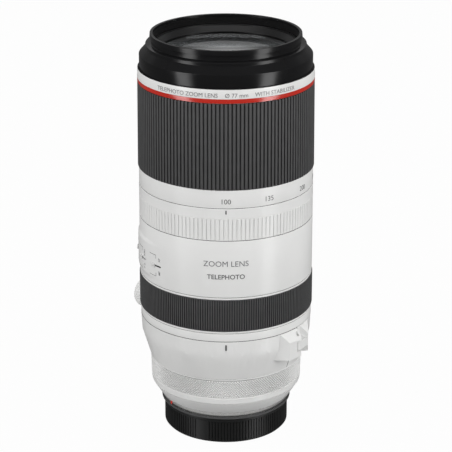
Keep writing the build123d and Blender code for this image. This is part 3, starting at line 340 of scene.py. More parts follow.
class Finish:
    """Node tree of a material or of the world"""

    def __init__(self, owner):
        owner.use_nodes = True
        self.owner = owner
        self.tree = owner.node_tree
        self.tree.nodes.clear()

    def node(self, kind, settings=None, inputs=None, output=0):
        """New node of a type, with its settings first and then its sockets."""
        node = self.tree.nodes.new(kind)
        for key, value in (settings or {}).items():
            if key == "stops":
                for stop, (position, grey) in zip(node.color_ramp.elements, value):
                    stop.position = position
                    stop.color = (grey, grey, grey, 1)
            else:
                setattr(node, key, value)
        for key, value in (inputs or {}).items():
            feed(self.tree, node.inputs[key], value)
        return Field(self.tree, node.outputs[output])

    def place(self):
        """Place on the piece, in metres."""
        return self.node("ShaderNodeTexCoord", output="Object")

    def sunk(self):
        """How deep a point lies in a piece's ribs, from 0 at the top to 1 in the valley."""
        return self.node("ShaderNodeAttribute", {"attribute_name": SUNK}, output="Fac")

    def ray(self, kind):
        """Whether a light path is of a kind, as 1 or 0."""
        return self.node("ShaderNodeLightPath", output=f"Is {kind} Ray")

    def noise(self, scale, detail, stretch=(1, 1, 1)):
        """Noise between 0 and 1, with its grain stretched along the axes."""
        spread = self.node("ShaderNodeVectorMath", {"operation": "MULTIPLY"},
                           {0: self.place(), 1: stretch})
        return self.node("ShaderNodeTexNoise", inputs={"Vector": spread, "Scale": scale,
                                                       "Detail": detail})

    def patches(self, scale, detail, start, full):
        """Patches from 0 to 1, which set in at one level of a noise and are full at another."""
        return self.node("ShaderNodeValToRGB", {"stops": ((start, 0), (full, 1))},
                         {"Fac": self.noise(scale, detail)})

    def mix(self, share_of_second, first, second):
        """Colour between two colours."""
        return self.node("ShaderNodeMix", {"data_type": "RGBA"},
                         {0: share_of_second, 6: first, 7: second}, output=2)

    def bump(self, height, strength, distance):
        """Normal bent by a height."""
        return self.node("ShaderNodeBump", inputs={"Height": height, "Strength": strength,
                                                   "Distance": distance})

    def surface(self, **sockets):
        """Principled surface with these sockets, as the finish of the material."""
        shader = self.node("ShaderNodeBsdfPrincipled",
                           inputs={key.replace("_", " "): value for key, value in sockets.items()})
        self.output(shader)

    def output(self, shader, kind="ShaderNodeOutputMaterial"):
        """Output node of the tree."""
        end = self.tree.nodes.new(kind)
        feed(self.tree, end.inputs["Surface"], shader)


def shade(tint, factor):
    """Colour made lighter or darker by a factor."""
    return tuple(min(1.0, part * factor) for part in tint)


def least(first, second):
    """Smaller of a field and a value."""
    return first.math("MINIMUM", first, second)


def clamped(field):
    """Field held between 0 and 1."""
    return least(field.math("MAXIMUM", field, 0.0), 1.0)


def enamel_finish(finish, tint, gloss=0.35, speckle=0.04, valley_shade=0.0):
    """Satin enamel: fine peel, faint cloudiness, rubbed high spots, and painted shade in its valleys."""
    cloud = finish.patches(38, 4, 0.35, 0.7)
    grain = finish.noise(2600, 2)
    peel = finish.noise(900, 3)
    rubbed = finish.patches(120, 6, 0.62, 0.74)
    base = finish.mix(cloud, tint, shade(tint, 1 - speckle))
    worn = finish.mix(rubbed * 0.35, base, shade(tint, 1.04))
    # Painted shade: the valleys of the ribs and knurl darkened by their depth
    finish.surface(Base_Color=finish.mix(finish.sunk() * valley_shade, worn, shade(tint, 0.4)),
                   Roughness=gloss + grain * 0.05 - rubbed * 0.06,
                   Normal=finish.bump(peel + grain * 0.35, 0.10, 0.05 * MM),
                   Coat_Weight=0.10, Coat_Roughness=0.18)


def rubber_finish(finish, tint):
    """Moulded rubber: fine matt grain, patches of pale dust, and painted shade in the valleys of its ribs.
    """
    grain = finish.noise(3200, 3)
    dust = finish.patches(210, 5, 0.45, 0.80)
    dusty = finish.mix(dust * 0.5, tint, shade(tint, 1.35))
    # Painted shade: the rib valleys darkened by their depth
    finish.surface(Base_Color=finish.mix(finish.sunk() * 0.75, dusty, shade(tint, 0.25)),
                   Roughness=0.62 + grain * 0.16, Specular_IOR_Level=0.35,
                   Normal=finish.bump(grain, 0.18, 0.05 * MM))


def moulded_finish(finish, tint, gloss=0.36, grain_depth=0.10, specular=0.4):
    """Moulded black plastic: spark-eroded grain and faint handling marks."""
    grain = finish.noise(2400, 4)
    handled = finish.patches(95, 5, 0.50, 0.78)
    finish.surface(Base_Color=finish.mix(handled * 0.4, tint, shade(tint, 1.5)),
                   Roughness=gloss + grain * 0.10 - handled * 0.05,
                   Specular_IOR_Level=specular,
                   Normal=finish.bump(grain, grain_depth, 0.04 * MM))


def turned_finish(finish, tint, gloss=0.2, metallic=1.0):
    """Turned metal: fine rings left by the tool, and small marks."""
    rings = finish.noise(420, 2, stretch=(0.4, 0.4, 14))
    fine = finish.noise(1500, 2, stretch=(0.3, 0.3, 9))
    marks = finish.patches(300, 6, 0.60, 0.72)
    finish.surface(Base_Color=finish.mix(rings, shade(tint, 0.82), shade(tint, 1.12)),
                   Metallic=metallic, Roughness=gloss + rings * 0.12 + marks * 0.10,
                   Normal=finish.bump(rings + fine * 0.6, 0.12, 0.03 * MM))


def felt_finish(finish, tint):
    """Pressed felt: short fibres."""
    fibres = finish.noise(1900, 6)
    finish.surface(Base_Color=finish.mix(fibres, shade(tint, 0.6), shade(tint, 2.2)),
                   Roughness=0.95, Sheen_Weight=0.3,
                   Normal=finish.bump(fibres, 0.6, 0.2 * MM))


def board_finish(finish, tint):
    """Solder mask over copper, with darker and paler patches where tracks run."""
    tracks = finish.node("ShaderNodeTexBrick", inputs={"Vector": finish.place(), "Scale": 260.0},
                         output="Fac")
    haze = finish.noise(700, 3)
    finish.surface(Base_Color=finish.mix(tracks, tint, shade(tint, 1.9)),
                   Roughness=0.30 + haze * 0.15, Normal=finish.bump(tracks, 0.15, 0.04 * MM))


def glass_finish(finish, tint, specular=0.5, index=1.6):
    """Coated optical glass, with the faintest dust on its surface."""
    dust = finish.patches(900, 6, 0.60, 0.78)
    finish.surface(Base_Color=tint, Roughness=0.004 + dust * 0.012, IOR=index,
                   Transmission_Weight=1.0, Specular_IOR_Level=specular)


def ink_finish(finish, tint):
    """Printed ink: slightly broken cover."""
    cover = finish.patches(1800, 4, 0.30, 0.62)
    finish.surface(Base_Color=finish.mix(cover, shade(tint, 1.7), tint),
                   Roughness=0.48 + cover * 0.08)


# Each finish with its maker, its colour, how much lighter or darker that is, and its settings
FINISHES = {
    "white_enamel": (enamel_finish, "enamel", 1.0, {}),
    # The knurl's valleys get painted shade
    "knurled_enamel": (enamel_finish, "enamel", 1.0, {"valley_shade": 0.38}),
    "red_enamel": (enamel_finish, "red", 1.0, {"gloss": 0.22, "speckle": 0.12}),
    "rubber": (rubber_finish, "rubber", 1.0, {}),
    "front_shell": (moulded_finish, "shell", 1.0, {"gloss": 0.18, "grain_depth": 0.04, "specular": 0.17}),
    "baffle": (moulded_finish, "shell", 1.0, {"gloss": 0.34, "grain_depth": 0.05}),
    "thread": (moulded_finish, "shell", 1.0, {"gloss": 0.6, "specular": 0.15}),
    "cap_plastic": (moulded_finish, "cap", 1.0, {"gloss": 0.42, "grain_depth": 0.2, "specular": 0.2}),
    # Painted shade for faces seen only through seams, collar joints and switch slots
    "seam": (moulded_finish, "seam", 1.0, {"gloss": 0.7, "specular": 0.2}),
    "mount_metal": (turned_finish, "metal", 1.3, {"gloss": 0.22}),
    "anodised": (turned_finish, "anodised", 1.0, {"gloss": 0.4, "metallic": 0.35}),
    "plated_brass": (turned_finish, "brass", 1.0, {"gloss": 0.22}),
    "pressed_felt": (felt_finish, "felt", 1.0, {}),
    "circuit_board": (board_finish, "board", 1.0, {}),
    "coated_glass": (glass_finish, "glass", 1.0, {"index": 1.75}),
    "inner_glass": (glass_finish, "glass", 0.6, {"specular": 0.1}),
    "ink": (ink_finish, "ink", 1.0, {}),
    "pale_ink": (ink_finish, "ink", 2.0, {}),
    "red_mark": (ink_finish, "red", 1.0, {}),
}

# Finishes of the frame's own pieces that stay
KEPT_FINISHES = {
    "anodised": "front_cell variator_cell relay_cell focus_cell shift_frame shift_cell rear_cell "
                "stabilizer_base iris_base guide_barrel cam_barrel bulkhead extension_tube",
    "inner_glass": "second_glass variator_glass relay_glass focus_glass shift_glass rear_glass",
    "mount_metal": "zoom_keys focus_rails mount_ring mount_screws hinge_pin foot_bush knob_stud",
    "pressed_felt": "dust_seal tension_pads collar_liner_lower collar_liner_upper",
    "plated_brass": "cam_rollers contact_pins",
    "cap_plastic": "focus_motor contact_block",
    "baffle": "iris_blades",
    "circuit_board": "main_board",
    "rubber": "mount_gasket",
}


def finish_named(name):
    """Material of a finish, made when it is first asked for."""
    made = bpy.data.materials.get(name)
    if made is None:
        made = bpy.data.materials.new(name)
        maker, colour_name, factor, settings = FINISHES[name]
        tint = getattr(bpy.context.scene.lens_colours, colour_name)
        maker(Finish(made), shade(tint, factor), **settings)
    return made


def on_axis(radius, turn, height):
    """Point at a radius from the optical axis, a turn and a height."""
    return Vector((radius * sin(turn), -radius * cos(turn), height))


def eased(points, rounding, steps=EASE_STEPS):
    """Closed outline with each of its corners rounded."""
    outline = []
    for index, corner in enumerate(points):
        corner = Vector(corner)
        before = Vector(points[index - 1]) - corner
        after = Vector(points[(index + 1) % len(points)]) - corner
        reach = min(rounding, before.length * EASE_LIMIT, after.length * EASE_LIMIT)
        first = corner + before.normalized() * reach
        last = corner + after.normalized() * reach
        for step in range(steps + 1):
            share_along = step / steps
            outline.append(tuple(first.lerp(corner, share_along).lerp(
                corner.lerp(last, share_along), share_along)))
    return outline


def even_turns(count):
    """Turns at even steps all round."""
    return [FULL_TURN * index / count for index in range(count)]


def turned(name, outline, turns, shift=None, pits=None, sharp=SHARP_ANGLE):
    """Mesh of a closed outline, as radius and height pairs, carried round the optical axis.

    Shift gives the change of radius at a point of the outline and a column. Pits says which
    corners are low, where faces are split from one low corner to the other.
    """
    shaped = bmesh.new()
    columns = [[shaped.verts.new(on_axis(radius + (shift(point, column) if shift else 0), turn, height))
                for point, (radius, height) in enumerate(outline)]
               for column, turn in enumerate(turns)]
    for column, verts in enumerate(columns):
        beside = columns[(column + 1) % len(columns)]
        for point in range(len(outline)):
            after = (point + 1) % len(outline)
            corners = (verts[point], beside[point], beside[after], verts[after])
            if pits and pits(point, column) is not None:
                start = 0 if pits(point, column) else 1
                first, second, third, fourth = corners[start:] + corners[:start]
                shaped.faces.new((first, second, third))
                shaped.faces.new((third, fourth, first))
            else:
                shaped.faces.new(corners)
    piece = mesh_piece(name, shaped, sharp)
    if shift:
        cuts = [-shift(point, column) for column in range(len(turns)) for point in range(len(outline))]
        deepest = max(cuts)
        sunk = piece.data.attributes.new(SUNK, "FLOAT", "POINT")
        sunk.data.foreach_set("value", [max(0.0, cut / deepest) for cut in cuts])
    return piece


def mesh_piece(name, shaped, sharp=SHARP_ANGLE):
    """Object of a finished bmesh, with soft shading up to a sharp angle."""
    bmesh.ops.recalc_face_normals(shaped, faces=shaped.faces)
    mesh = bpy.data.meshes.new(name)
    shaped.to_mesh(mesh)
    shaped.free()
    mesh.shade_smooth()
    mesh.set_sharp_from_angle(angle=sharp)
    piece = bpy.data.objects.new(name, mesh)
    bpy.context.collection.objects.link(piece)
    return piece


def paint_gap_shade(piece, hidden):
    """Give the faces that show only through seams a dark finish: painted shade of the deep gaps, which are
    also dark inside the real lens.
    """
    piece.data.materials.append(finish_named("seam"))
    for face in piece.data.polygons:
        if hidden(face, Vector((face.center.x, face.center.y, 0))):
            face.material_index = 1


def paint_end_shade(ring, above=0.0):
    """Painted shade on a ring's bore, and on its ends above a height."""
    def hidden(face, outward):
        at_end = abs(face.normal.z) > END_FACING and face.center.z > above
        return at_end or face.normal.dot(outward) < 0

    paint_gap_shade(ring, hidden)


def paint_joint_shade(half, low, top, reach):
    """Painted shade on the faces of a collar half that meet its neighbours within a reach of the axis."""
    end_depth, end_facing, bore_facing, joint_facing = 0.3 * MM, 0.6, -0.5, 0.8

    def hidden(face, outward):
        if outward.length > reach:
            return False
        outward.normalize()
        across = Vector((-outward.y, outward.x, 0))
        at_end = min(face.center.z - low, top - face.center.z) < end_depth
        return ((at_end and abs(face.normal.z) > end_facing) or face.normal.dot(outward) < bore_facing
                or abs(face.normal.dot(across)) > joint_facing)

    paint_gap_shade(half, hidden)


def dress(piece, body, finish, *nodes):
    """Give a piece its finish and slot, its body and the nodes that it stands for."""
    if not piece.data.materials:
        piece.data.materials.append(finish_named(finish))
    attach(piece, body)
    if nodes:
        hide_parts(*nodes)


def plain_ring(name, outline, rounding, body, node, finish="white_enamel", seams=True,
               steps=EASE_STEPS):
    """Ring of an outline with rounded corners, its ends given painted shade where they lie in seams."""
    ring = turned(name, eased(outline, rounding, steps), even_turns(PLAIN_COLUMNS))
    dress(ring, body, finish, node)
    # Painted shade on the bore and on the ends that lie in seams
    if seams:
        paint_end_shade(ring)


def rib_columns(count, land, smooth=()):
    """Turns of a rib's four edges all round, with the valley share of each column.

    Smooth lists pads without ribs, each as its middle and its half width.
    """
    pitch = FULL_TURN / count
    turns, valleys = [], []
    flank = (1 - land) / 4
    for index in range(count):
        middle = pitch * index
        away = [abs((middle - pad + pi) % FULL_TURN - pi) for pad, half in smooth]
        padded = any(gap < half for gap, (pad, half) in zip(away, smooth))
        edges = ((-land / 2, 0), (-land / 4, LAND_CROWN), (land / 4, LAND_CROWN), (land / 2, 0),
                 (land / 2 + flank, 1), (1 - land / 2 - flank, 1))
        for place, valley in edges:
            turns.append(middle + pitch * place)
            valleys.append(0 if padded else valley)
    return turns, valleys


def rib_shift(valleys, depth, first, last):
    """Shift that cuts valleys into the outline's points from first to last, run out at both ends."""
    def shift(point, column):
        if point < first or point > last:
            return 0
        return -depth * valleys[column] * (RUN_OUT if point in (first, last) else 1)
    return shift


def sliced(shaped, direction, step):
    """Cut a bmesh by planes at even steps along a direction."""
    reaches = [vert.co.dot(direction) for vert in shaped.verts]
    for index in range(ceil(min(reaches) / step), ceil(max(reaches) / step)):
        geometry = shaped.verts[:] + shaped.edges[:] + shaped.faces[:]
        bmesh.ops.bisect_plane(shaped, geom=geometry, plane_co=direction * index * step,
                               plane_no=direction)


def wrapped(mesh, radius, turn, height, rise=None, rows=None):
    """Bend a flat mesh, drawn in X and Y with Z outward, onto the barrel at a turn and height.

    Rise gives how far a point stands out at a turn, a height and a flat height. Rows is the
    step of the cuts up the mesh, where it has to follow a rise.
    """
    shaped = bmesh.new()
    shaped.from_mesh(mesh)
    sliced(shaped, Vector((1, 0, 0)), WRAP_STEP * radius)
    if rows:
        sliced(shaped, Vector((0, 1, 0)), rows)
    for vert in shaped.verts:
        flat = vert.co.copy()
        place = (turn + flat.x / radius, height + flat.y)
        vert.co = on_axis(radius + (rise(*place, flat.z) if rise else flat.z), *place)
    return shaped


def evaluated_mesh(holder):
    """Mesh of a curve, or of a mesh with its modifiers."""
    bpy.context.view_layer.update()
    return bpy.data.meshes.new_from_object(
        holder.evaluated_get(bpy.context.evaluated_depsgraph_get()))


def flat_mesh(curve, thickness, quarter=0):
    """Flat mesh of a curve, which is used up, with its back at Z = 0 and turned by quarter turns."""
    holder = bpy.data.objects.new("flat", curve)
    bpy.context.collection.objects.link(holder)
    mesh = evaluated_mesh(holder)
    bpy.data.objects.remove(holder)
    bpy.data.curves.remove(curve)
    mesh.transform(Matrix.Rotation(quarter * pi / 2, 4, "Z") @ Matrix.Translation((0, 0, thickness / 2)))
    return mesh


def letters(words, cap_height, quarter=0, weight=0.0):
    """Flat mesh of a printed line of letters, centred, and made bolder by a weight."""
    curve = bpy.data.curves.new("letters", "FONT")
    curve.body = words
    curve.size = cap_height / CAPITAL_SHARE
    curve.align_x = "CENTER"
    curve.align_y = "CENTER"
    curve.extrude = PRINT_THICKNESS / 2
    curve.resolution_u = 4
    curve.offset = cap_height * weight
    return flat_mesh(curve, PRINT_THICKNESS, quarter)


def flat_plate(outlines, thickness, rounding=0.0):
    """Flat mesh of closed outlines, the later ones cut out as holes, with rounded edges."""
    curve = bpy.data.curves.new("plate", "CURVE")
    curve.dimensions = "2D"
    curve.fill_mode = "BOTH"
    for outline in outlines:
        spline = curve.splines.new("POLY")
        spline.points.add(len(outline) - 1)
        for point, (across, up) in zip(spline.points, outline):
            point.co = (across, up, 0, 1)
        spline.use_cyclic_u = True
    curve.extrude = thickness / 2 - rounding
    curve.bevel_depth = rounding
    curve.bevel_resolution = 2
    curve.offset = -rounding
    return flat_mesh(curve, thickness)


def rounded_box(width, height, corner, centre=(0, 0), steps=5):
    """Outline of a rectangle with rounded corners."""
    outline = []
    for index, (side, end) in enumerate(((1, 1), (-1, 1), (-1, -1), (1, -1))):
        middle = (centre[0] + side * (width / 2 - corner), centre[1] + end * (height / 2 - corner))
        for step in range(steps + 1):
            bearing = (index + step / steps) * pi / 2
            outline.append((middle[0] + corner * cos(bearing), middle[1] + corner * sin(bearing)))
    return outline


def joined(name, parts):
    """One piece of several bmeshes."""
    merged = bmesh.new()
    for part in parts:
        carrier = bpy.data.meshes.new("carrier")
        part.to_mesh(carrier)
        part.free()
        merged.from_mesh(carrier)
        bpy.data.meshes.remove(carrier)
    return mesh_piece(name, merged)


def printed(name, marks, body, finish="ink", rise=None):
    """Piece of printed marks, each as its flat mesh, radius, turn and height."""
    parts = [wrapped(mesh, radius + PRINT_LIFT, turn, height, rise)
             for mesh, radius, turn, height in marks]
    dress(joined(name, parts), body, finish)


def bar(width, height):
    """Flat mesh of a printed bar."""
    return flat_plate([rounded_box(width, height, min(width, height) * BAR_CORNER)], PRINT_THICKNESS)


def smooth_step(value):
    """Smooth rise from 0 to 1."""
    held = min(1.0, max(0.0, value))
    return held * held * (3 - 2 * held)


def joint_where(key, value):
    """The frame's joint with this value under a key."""
    return next(joint for joint in frame["joints"] if joint[key] == value)


class LENS_OT_front_ring(bpy.types.Operator):
    """Build the front ring with its rim, filter thread, hood seat, cone and skirt"""
    bl_idname = "lens.front_ring"
    bl_label = "Front Ring"

    def execute(self, context):
        sizes = context.scene.lens_front
        groove_chamfer, wall_step, wall_rise = in_mm(0.4, 2.2, 1.0)
        ledge_height, thread_back = in_mm(2.6, 0.1)
        threaded_share, crest_start, crest_end = 0.86, 0.45, 0.55
        outer, low, top = ring_of("front_ring")
        bore = radius_of("extension_tube") + RUN_GAP
        tube_top = high_of("extension_tube") + SEAT_GAP
        hood_top = top - sizes.hood_drop
        cone_top = hood_top - sizes.hood_height
        cone_low = cone_top - sizes.cone_height
        ledge = top - sizes.thread_depth
        pitch, crest = sizes.thread_pitch, sizes.thread_radius
        root = crest + sizes.thread_cut
        threads = int(sizes.thread_depth * threaded_share / pitch)
        thread_top = ledge + pitch * threads
        outline = [(sizes.rim_radius, top), (sizes.rim_low_radius, top - sizes.rim_height),
                   (sizes.groove_radius, top - sizes.rim_height),
                   (sizes.groove_radius, hood_top + groove_chamfer), (sizes.hood_radius, hood_top),
                   (sizes.hood_radius, cone_top), (outer, cone_low), (outer, low), (bore, low),
                   (bore, tube_top), (bore - wall_step, cone_low + wall_rise),
                   (sizes.ledge_radius, ledge - ledge_height), (sizes.ledge_radius, ledge),
                   (root, ledge), (root, thread_top), (crest, thread_top), (crest, top)]
        plain_ring("front_ring_shell", outline, sizes.ease, "front_barrel", "front_ring", "front_shell",
                   seams=False)
        comb = [(root + thread_back, ledge)]
        for index in range(threads):
            height = ledge + pitch * index
            comb += [(root, height), (crest, height + pitch * crest_start),
                     (crest, height + pitch * crest_end)]
        comb += [(root, thread_top), (root + thread_back, thread_top)]
        thread = turned("filter_thread", comb, even_turns(PLAIN_COLUMNS))
        dress(thread, "front_barrel", "thread")
        return {"FINISHED"}


class LENS_OT_baffle(bpy.types.Operator):
    """Build the retaining ring whose ridged baffle leads down to the front glass"""
    bl_idname = "lens.baffle"
    bl_label = "Baffle Ring"

    def execute(self, context):
        sizes = context.scene.lens_front
        edge_ease = 0.06 * MM
        low, top = low_of("front_retainer"), high_of("front_retainer")
        outer = sizes.ledge_radius - RUN_GAP
        bore = radius_of("front_glass") - SEAT_GAP
        nose = radius_of("front_glass") - sizes.baffle_nose
        shoulder = high_of("front_cell") + SEAT_GAP
        land, groove, lip = outer - sizes.baffle_land, sizes.baffle_groove, sizes.baffle_lip
        outline = [(nose, low), (bore, low), (bore, shoulder), (outer, shoulder), (outer, top), (land, top),
                   (land, top - groove), (land - groove / 2, top - groove),
                   (nose + lip, low + lip * 2), (nose, low + lip * 2)]
        plain_ring("baffle_ring", outline, edge_ease, "front_barrel", "front_retainer", "baffle",
                   seams=False, steps=1)
        return {"FINISHED"}


class LENS_OT_front_glass(bpy.types.Operator):
    """Build the curved front element"""
    bl_idname = "lens.front_glass"
    bl_label = "Front Glass"

    def execute(self, context):
        sizes = context.scene.lens_front
        radius = radius_of("front_glass")
        steps = [step / sizes.glass_rows for step in range(sizes.glass_rows + 1)]
        front = [(share_out, high_of("front_glass"), -sizes.glass_crown) for share_out in steps]
        back = [(share_out, low_of("front_glass"), sizes.glass_hollow) for share_out in reversed(steps)]
        shaped = bmesh.new()
        rows = []
        for share_out, end, crown in front + back:
            turns = even_turns(sizes.glass_columns) if share_out else [0]
            rows.append([shaped.verts.new(on_axis(radius * share_out, turn, end + crown * share_out ** 2))
                         for turn in turns])
        for above, below in zip(rows, rows[1:]):
            for index in range(sizes.glass_columns):
                after = (index + 1) % sizes.glass_columns
                corners = [above[index % len(above)], above[after % len(above)],
                           below[after % len(below)], below[index % len(below)]]
                shaped.faces.new(list(dict.fromkeys(corners)))
        dress(mesh_piece("front_element", shaped), "front_barrel", "coated_glass", "front_glass")
        return {"FINISHED"}


class LENS_OT_name_ring(bpy.types.Operator):
    """Build the white band behind the front ring with its plain words, and the red line"""
    bl_idname = "lens.name_ring"
    bl_label = "Name Ring and Red Line"

    def execute(self, context):
        words = context.scene.lens_letters
        taper, band_ease, line_ease = in_mm(0.25, 0.15, 0.25)
        word_share, word_lift = 0.36, 0.02 * MM
        bore = radius_of("extension_tube") + RUN_GAP
        wide, low, top = ring_of("name_ring")
        narrow = wide - taper
        plain_ring("name_band", [(bore, low), (wide, low), (narrow, top), (bore, top)], band_ease,
                   "front_barrel", "name_ring")
        red, red_low, red_top = ring_of("red_ring")
        plain_ring("red_line", [(bore, red_low), (red, red_low), (red, red_top), (bore, red_top)],
                   line_ease, "front_barrel", "red_ring", "red_enamel", seams=False)
        printed("name_words", [(letters(words.name_words, words.name_height),
                                wide + (narrow - wide) * word_share + word_lift, 0,
                                low + (top - low) * word_share)], "front_barrel", "pale_ink")
        return {"FINISHED"}


class LENS_OT_zoom_ring(bpy.types.Operator):
    """Build the zoom ring: ribbed rubber, focal length band and inner skirt"""
    bl_idname = "lens.zoom_ring"
    bl_label = "Zoom Ring"

    def execute(self, context):
        ribs, words = context.scene.lens_ribs, context.scene.lens_letters
        thickness, edge, low_edge, top_edge, grip_ease = in_mm(1.35, 0.3, 0.35, 0.5, 0.05)
        band_height, figure_rise, band_ease = in_mm(9.75, 3.5, 0.18)
        skirt_gap, skirt_wall = in_mm(0.5, 1.0)
        rubber, low, top = ring_of("zoom_grip")
        outer = rubber - SEAT_GAP
        seat, narrow = outer - thickness, outer - ribs.zoom_taper
        body = eased([(seat, low), (outer - edge, low), (outer, low + low_edge),
                      (narrow, top - top_edge), (narrow - edge, top), (seat, top)], grip_ease, 1)
        turns, valleys = rib_columns(ribs.zoom_count, ribs.zoom_land)
        grip = turned("zoom_rubber", body, turns, rib_shift(valleys, ribs.zoom_depth, first=2, last=9))
        dress(grip, "zoom_ring", "rubber", "zoom_grip")

        band_low, band_top = low - band_height, low - SEAT_GAP
        band, skirt_low, sleeve_top = ring_of("zoom_sleeve")
        skirt = radius_of("extension_tube") + skirt_gap
        outline = [(skirt, skirt_low), (skirt + skirt_wall, skirt_low), (skirt + skirt_wall, band_low),
                   (band, band_low), (band, band_top), (seat - SEAT_GAP, band_top),
                   (seat - SEAT_GAP, sleeve_top), (skirt, sleeve_top)]
        plain_ring("zoom_sleeve_shell", outline, band_ease, "zoom_ring", "zoom_sleeve")
        printed("focal_figures", [(letters(figures, words.scale_height), band, radians(turn),
                                   band_low + figure_rise) for figures, turn in FOCAL_TURNS.items()],
                "zoom_ring")
        return {"FINISHED"}


class LENS_OT_tension_ring(bpy.types.Operator):
    """Build the tension ring: plain index band above a band of flat ribs"""
    bl_idname = "lens.tension_ring"
    bl_label = "Tension Ring"

    def execute(self, context):
        ribs, words = context.scene.lens_ribs, context.scene.lens_letters
        wall, edge, rib_rise, rib_lead, rib_end = in_mm(0.9, 0.15, 0.6, 0.1, 0.3)
        line_depth, line_top, line_end = in_mm(0.12, 0.30, 0.42)
        index_height, index_drop = in_mm(2.0, 1.9)
        outer, low, top = ring_of("tension_ring")
        inner = outer - wall
        rib_low = low + rib_rise
        rib_top = rib_low + ribs.tension_band
        outline = [(inner, low), (outer - edge, low), (outer, low + edge), (outer, rib_low - rib_lead),
                   (outer, rib_low), (outer, rib_low + rib_end), (outer, rib_top - rib_end),
                   (outer, rib_top), (outer - line_depth, rib_top + line_depth),
                   (outer - line_depth, rib_top + line_top), (outer, rib_top + line_end),
                   (outer, top - edge), (outer - edge, top), (inner, top)]
        turns, valleys = rib_columns(ribs.tension_count, ribs.tension_land)
        shift = rib_shift([max(0, valley) for valley in valleys], ribs.tension_depth, first=4, last=7)
        ring = turned("tension_band", outline, turns, shift)
        dress(ring, "tension_ring", "white_enamel", "tension_ring")
        # Painted shade on the ring's bore and ends, where they show through seams
        paint_end_shade(ring)
        printed("tension_index", [(bar(words.bar_width, index_height), outer, 0, top - index_drop)],
                "tension_ring")
        return {"FINISHED"}


class LENS_OT_main_barrel(bpy.types.Operator):
    """Build the fixed barrel with the switches' side, and its plain words"""
    bl_idname = "lens.main_barrel"
    bl_label = "Main Barrel"

    def execute(self, context):
        words = context.scene.lens_letters
        wall, neck_step, neck_bore_step = in_mm(4.35, 1.25, 2.05)
        floor_height, edge_ease = in_mm(1.6, 0.22)
        outer, low, top = ring_of("switch_barrel")
        deck = low_of("tension_ring") - TURN_GAP
        inner, neck, neck_bore = outer - wall, outer - neck_step, outer - neck_bore_step
        outline = [(inner, low), (outer, low), (outer, deck), (neck, deck), (neck, top), (neck_bore, top),
                   (neck_bore, low + floor_height), (inner, low + floor_height)]
        plain_ring("main_tube", outline, edge_ease, "main_barrel", "switch_barrel")
        printed("title_words", [(letters(words.title_words, words.title_height), outer, 0,
                                 low + words.title_rise)], "main_barrel", "pale_ink")
        printed("second_words", [(letters(words.range_words, words.range_height, weight=words.weight),
                                  outer, 0, low + words.range_rise)], "main_barrel")
        return {"FINISHED"}


class LENS_OT_switches(bpy.types.Operator):
    """Build the swelling switch plate, its four slide switches, their words and lines"""
    bl_idname = "lens.switches"
    bl_label = "Switches"

    def execute(self, context):
        words, sizes = context.scene.lens_letters, context.scene.lens_switches
        stem_width, stem_height, stem_corner = 0.9, 0.8, 0.3
        ridge_length, ridge_corner = 0.8, 0.4
        low, top = low_of("switch_panel"), high_of("switch_panel")
        radius = radius_of("switch_barrel")
        middle, half_height, half_span = (low + top) / 2, (top - low) / 2, sizes.plate_span / 2
        level = (low_of("focus_mode_switch") + high_of("focus_mode_switch")) / 2
        half_throw = radians(joint_where("child", "focus_mode_switch")["range_deg"][1]) / 2

        def face(turn, height):
            """Height of the plate's face over the barrel."""
            front, back = sizes.plate_turn + half_span - turn, turn - sizes.plate_turn + half_span
            edge = half_height - abs(height - middle)
            return (sizes.plate_rise * smooth_step(front / sizes.front_ease)
                    * smooth_step(back / sizes.back_ease) * smooth_step(edge / sizes.edge_ease))

        def over_plate(turn, height, flat):
            return face(turn, height) + flat

        def in_plate(turn, height, flat):
            return face(turn, height) * flat / sizes.plate_rise

        stem_box = rounded_box(sizes.button_width * stem_width, sizes.slot_height * stem_height,
                               sizes.slot_height * stem_corner)
        cap = flat_plate([rounded_box(sizes.button_width, sizes.button_height, sizes.button_corner)],
                         sizes.button_rise, sizes.button_ease)
        ridge = flat_plate([rounded_box(sizes.ridge_width, sizes.button_height * ridge_length,
                                        sizes.ridge_width * ridge_corner)], sizes.ridge_width / 2)
        outlines = [rounded_box(sizes.plate_span * radius, top - low, sizes.plate_corner)]
        slots, marks = [], []
        for index, (node, names) in enumerate(SWITCH_WORDS.items()):
            turn = sizes.first_turn - sizes.switch_step * index
            outlines.append(rounded_box(sizes.slot_width, sizes.slot_height, sizes.slot_height / 2,
                                        ((turn - sizes.plate_turn) * radius, level - middle)))
            slots.append((bar(sizes.slot_width, sizes.slot_height), radius, turn, level))
            start = turn - half_throw
            seat = radius + face(start, level)
            pieces = [wrapped(flat_plate([stem_box], seat - radius), radius + SEAT_GAP, start, level),
                      wrapped(cap, seat + SEAT_GAP, start, level)]
            pieces += [wrapped(ridge, seat + SEAT_GAP + sizes.button_rise,
                               start + side * sizes.ridge_step / radius, level) for side in (-1, 0, 1)]
            dress(joined(f"{node}_button", pieces), node, "white_enamel", node)
            for side, word in zip((1, -1), names):
                marks.append((letters(word, words.switch_height, 1, words.weight), radius,
                              turn + sizes.word_reach / radius, level + side * sizes.word_rise))
            for side in (1, -1):
                marks.append((bar(sizes.bracket_width, words.line_width), radius,
                              turn - sizes.bracket_reach / radius, level + side * sizes.bracket_rise))
                marks.append((bar(words.line_width, sizes.bracket_tick), radius,
                              turn + (sizes.bracket_width / 2 - sizes.bracket_reach) / radius,
                              level + side * (sizes.bracket_rise - sizes.bracket_tick / 2)))
        plate = joined("switch_plate", [wrapped(flat_plate(outlines, sizes.plate_rise), radius,
                                                sizes.plate_turn, middle, in_plate, sizes.plate_rows)])
        dress(plate, "main_barrel", "white_enamel", "switch_panel")
        # Painted shade: dark bars where the slots show the barrel beneath
        printed("switch_slots", slots, "main_barrel", "seam")
        printed("switch_words", marks, "main_barrel", rise=over_plate)
        return {"FINISHED"}


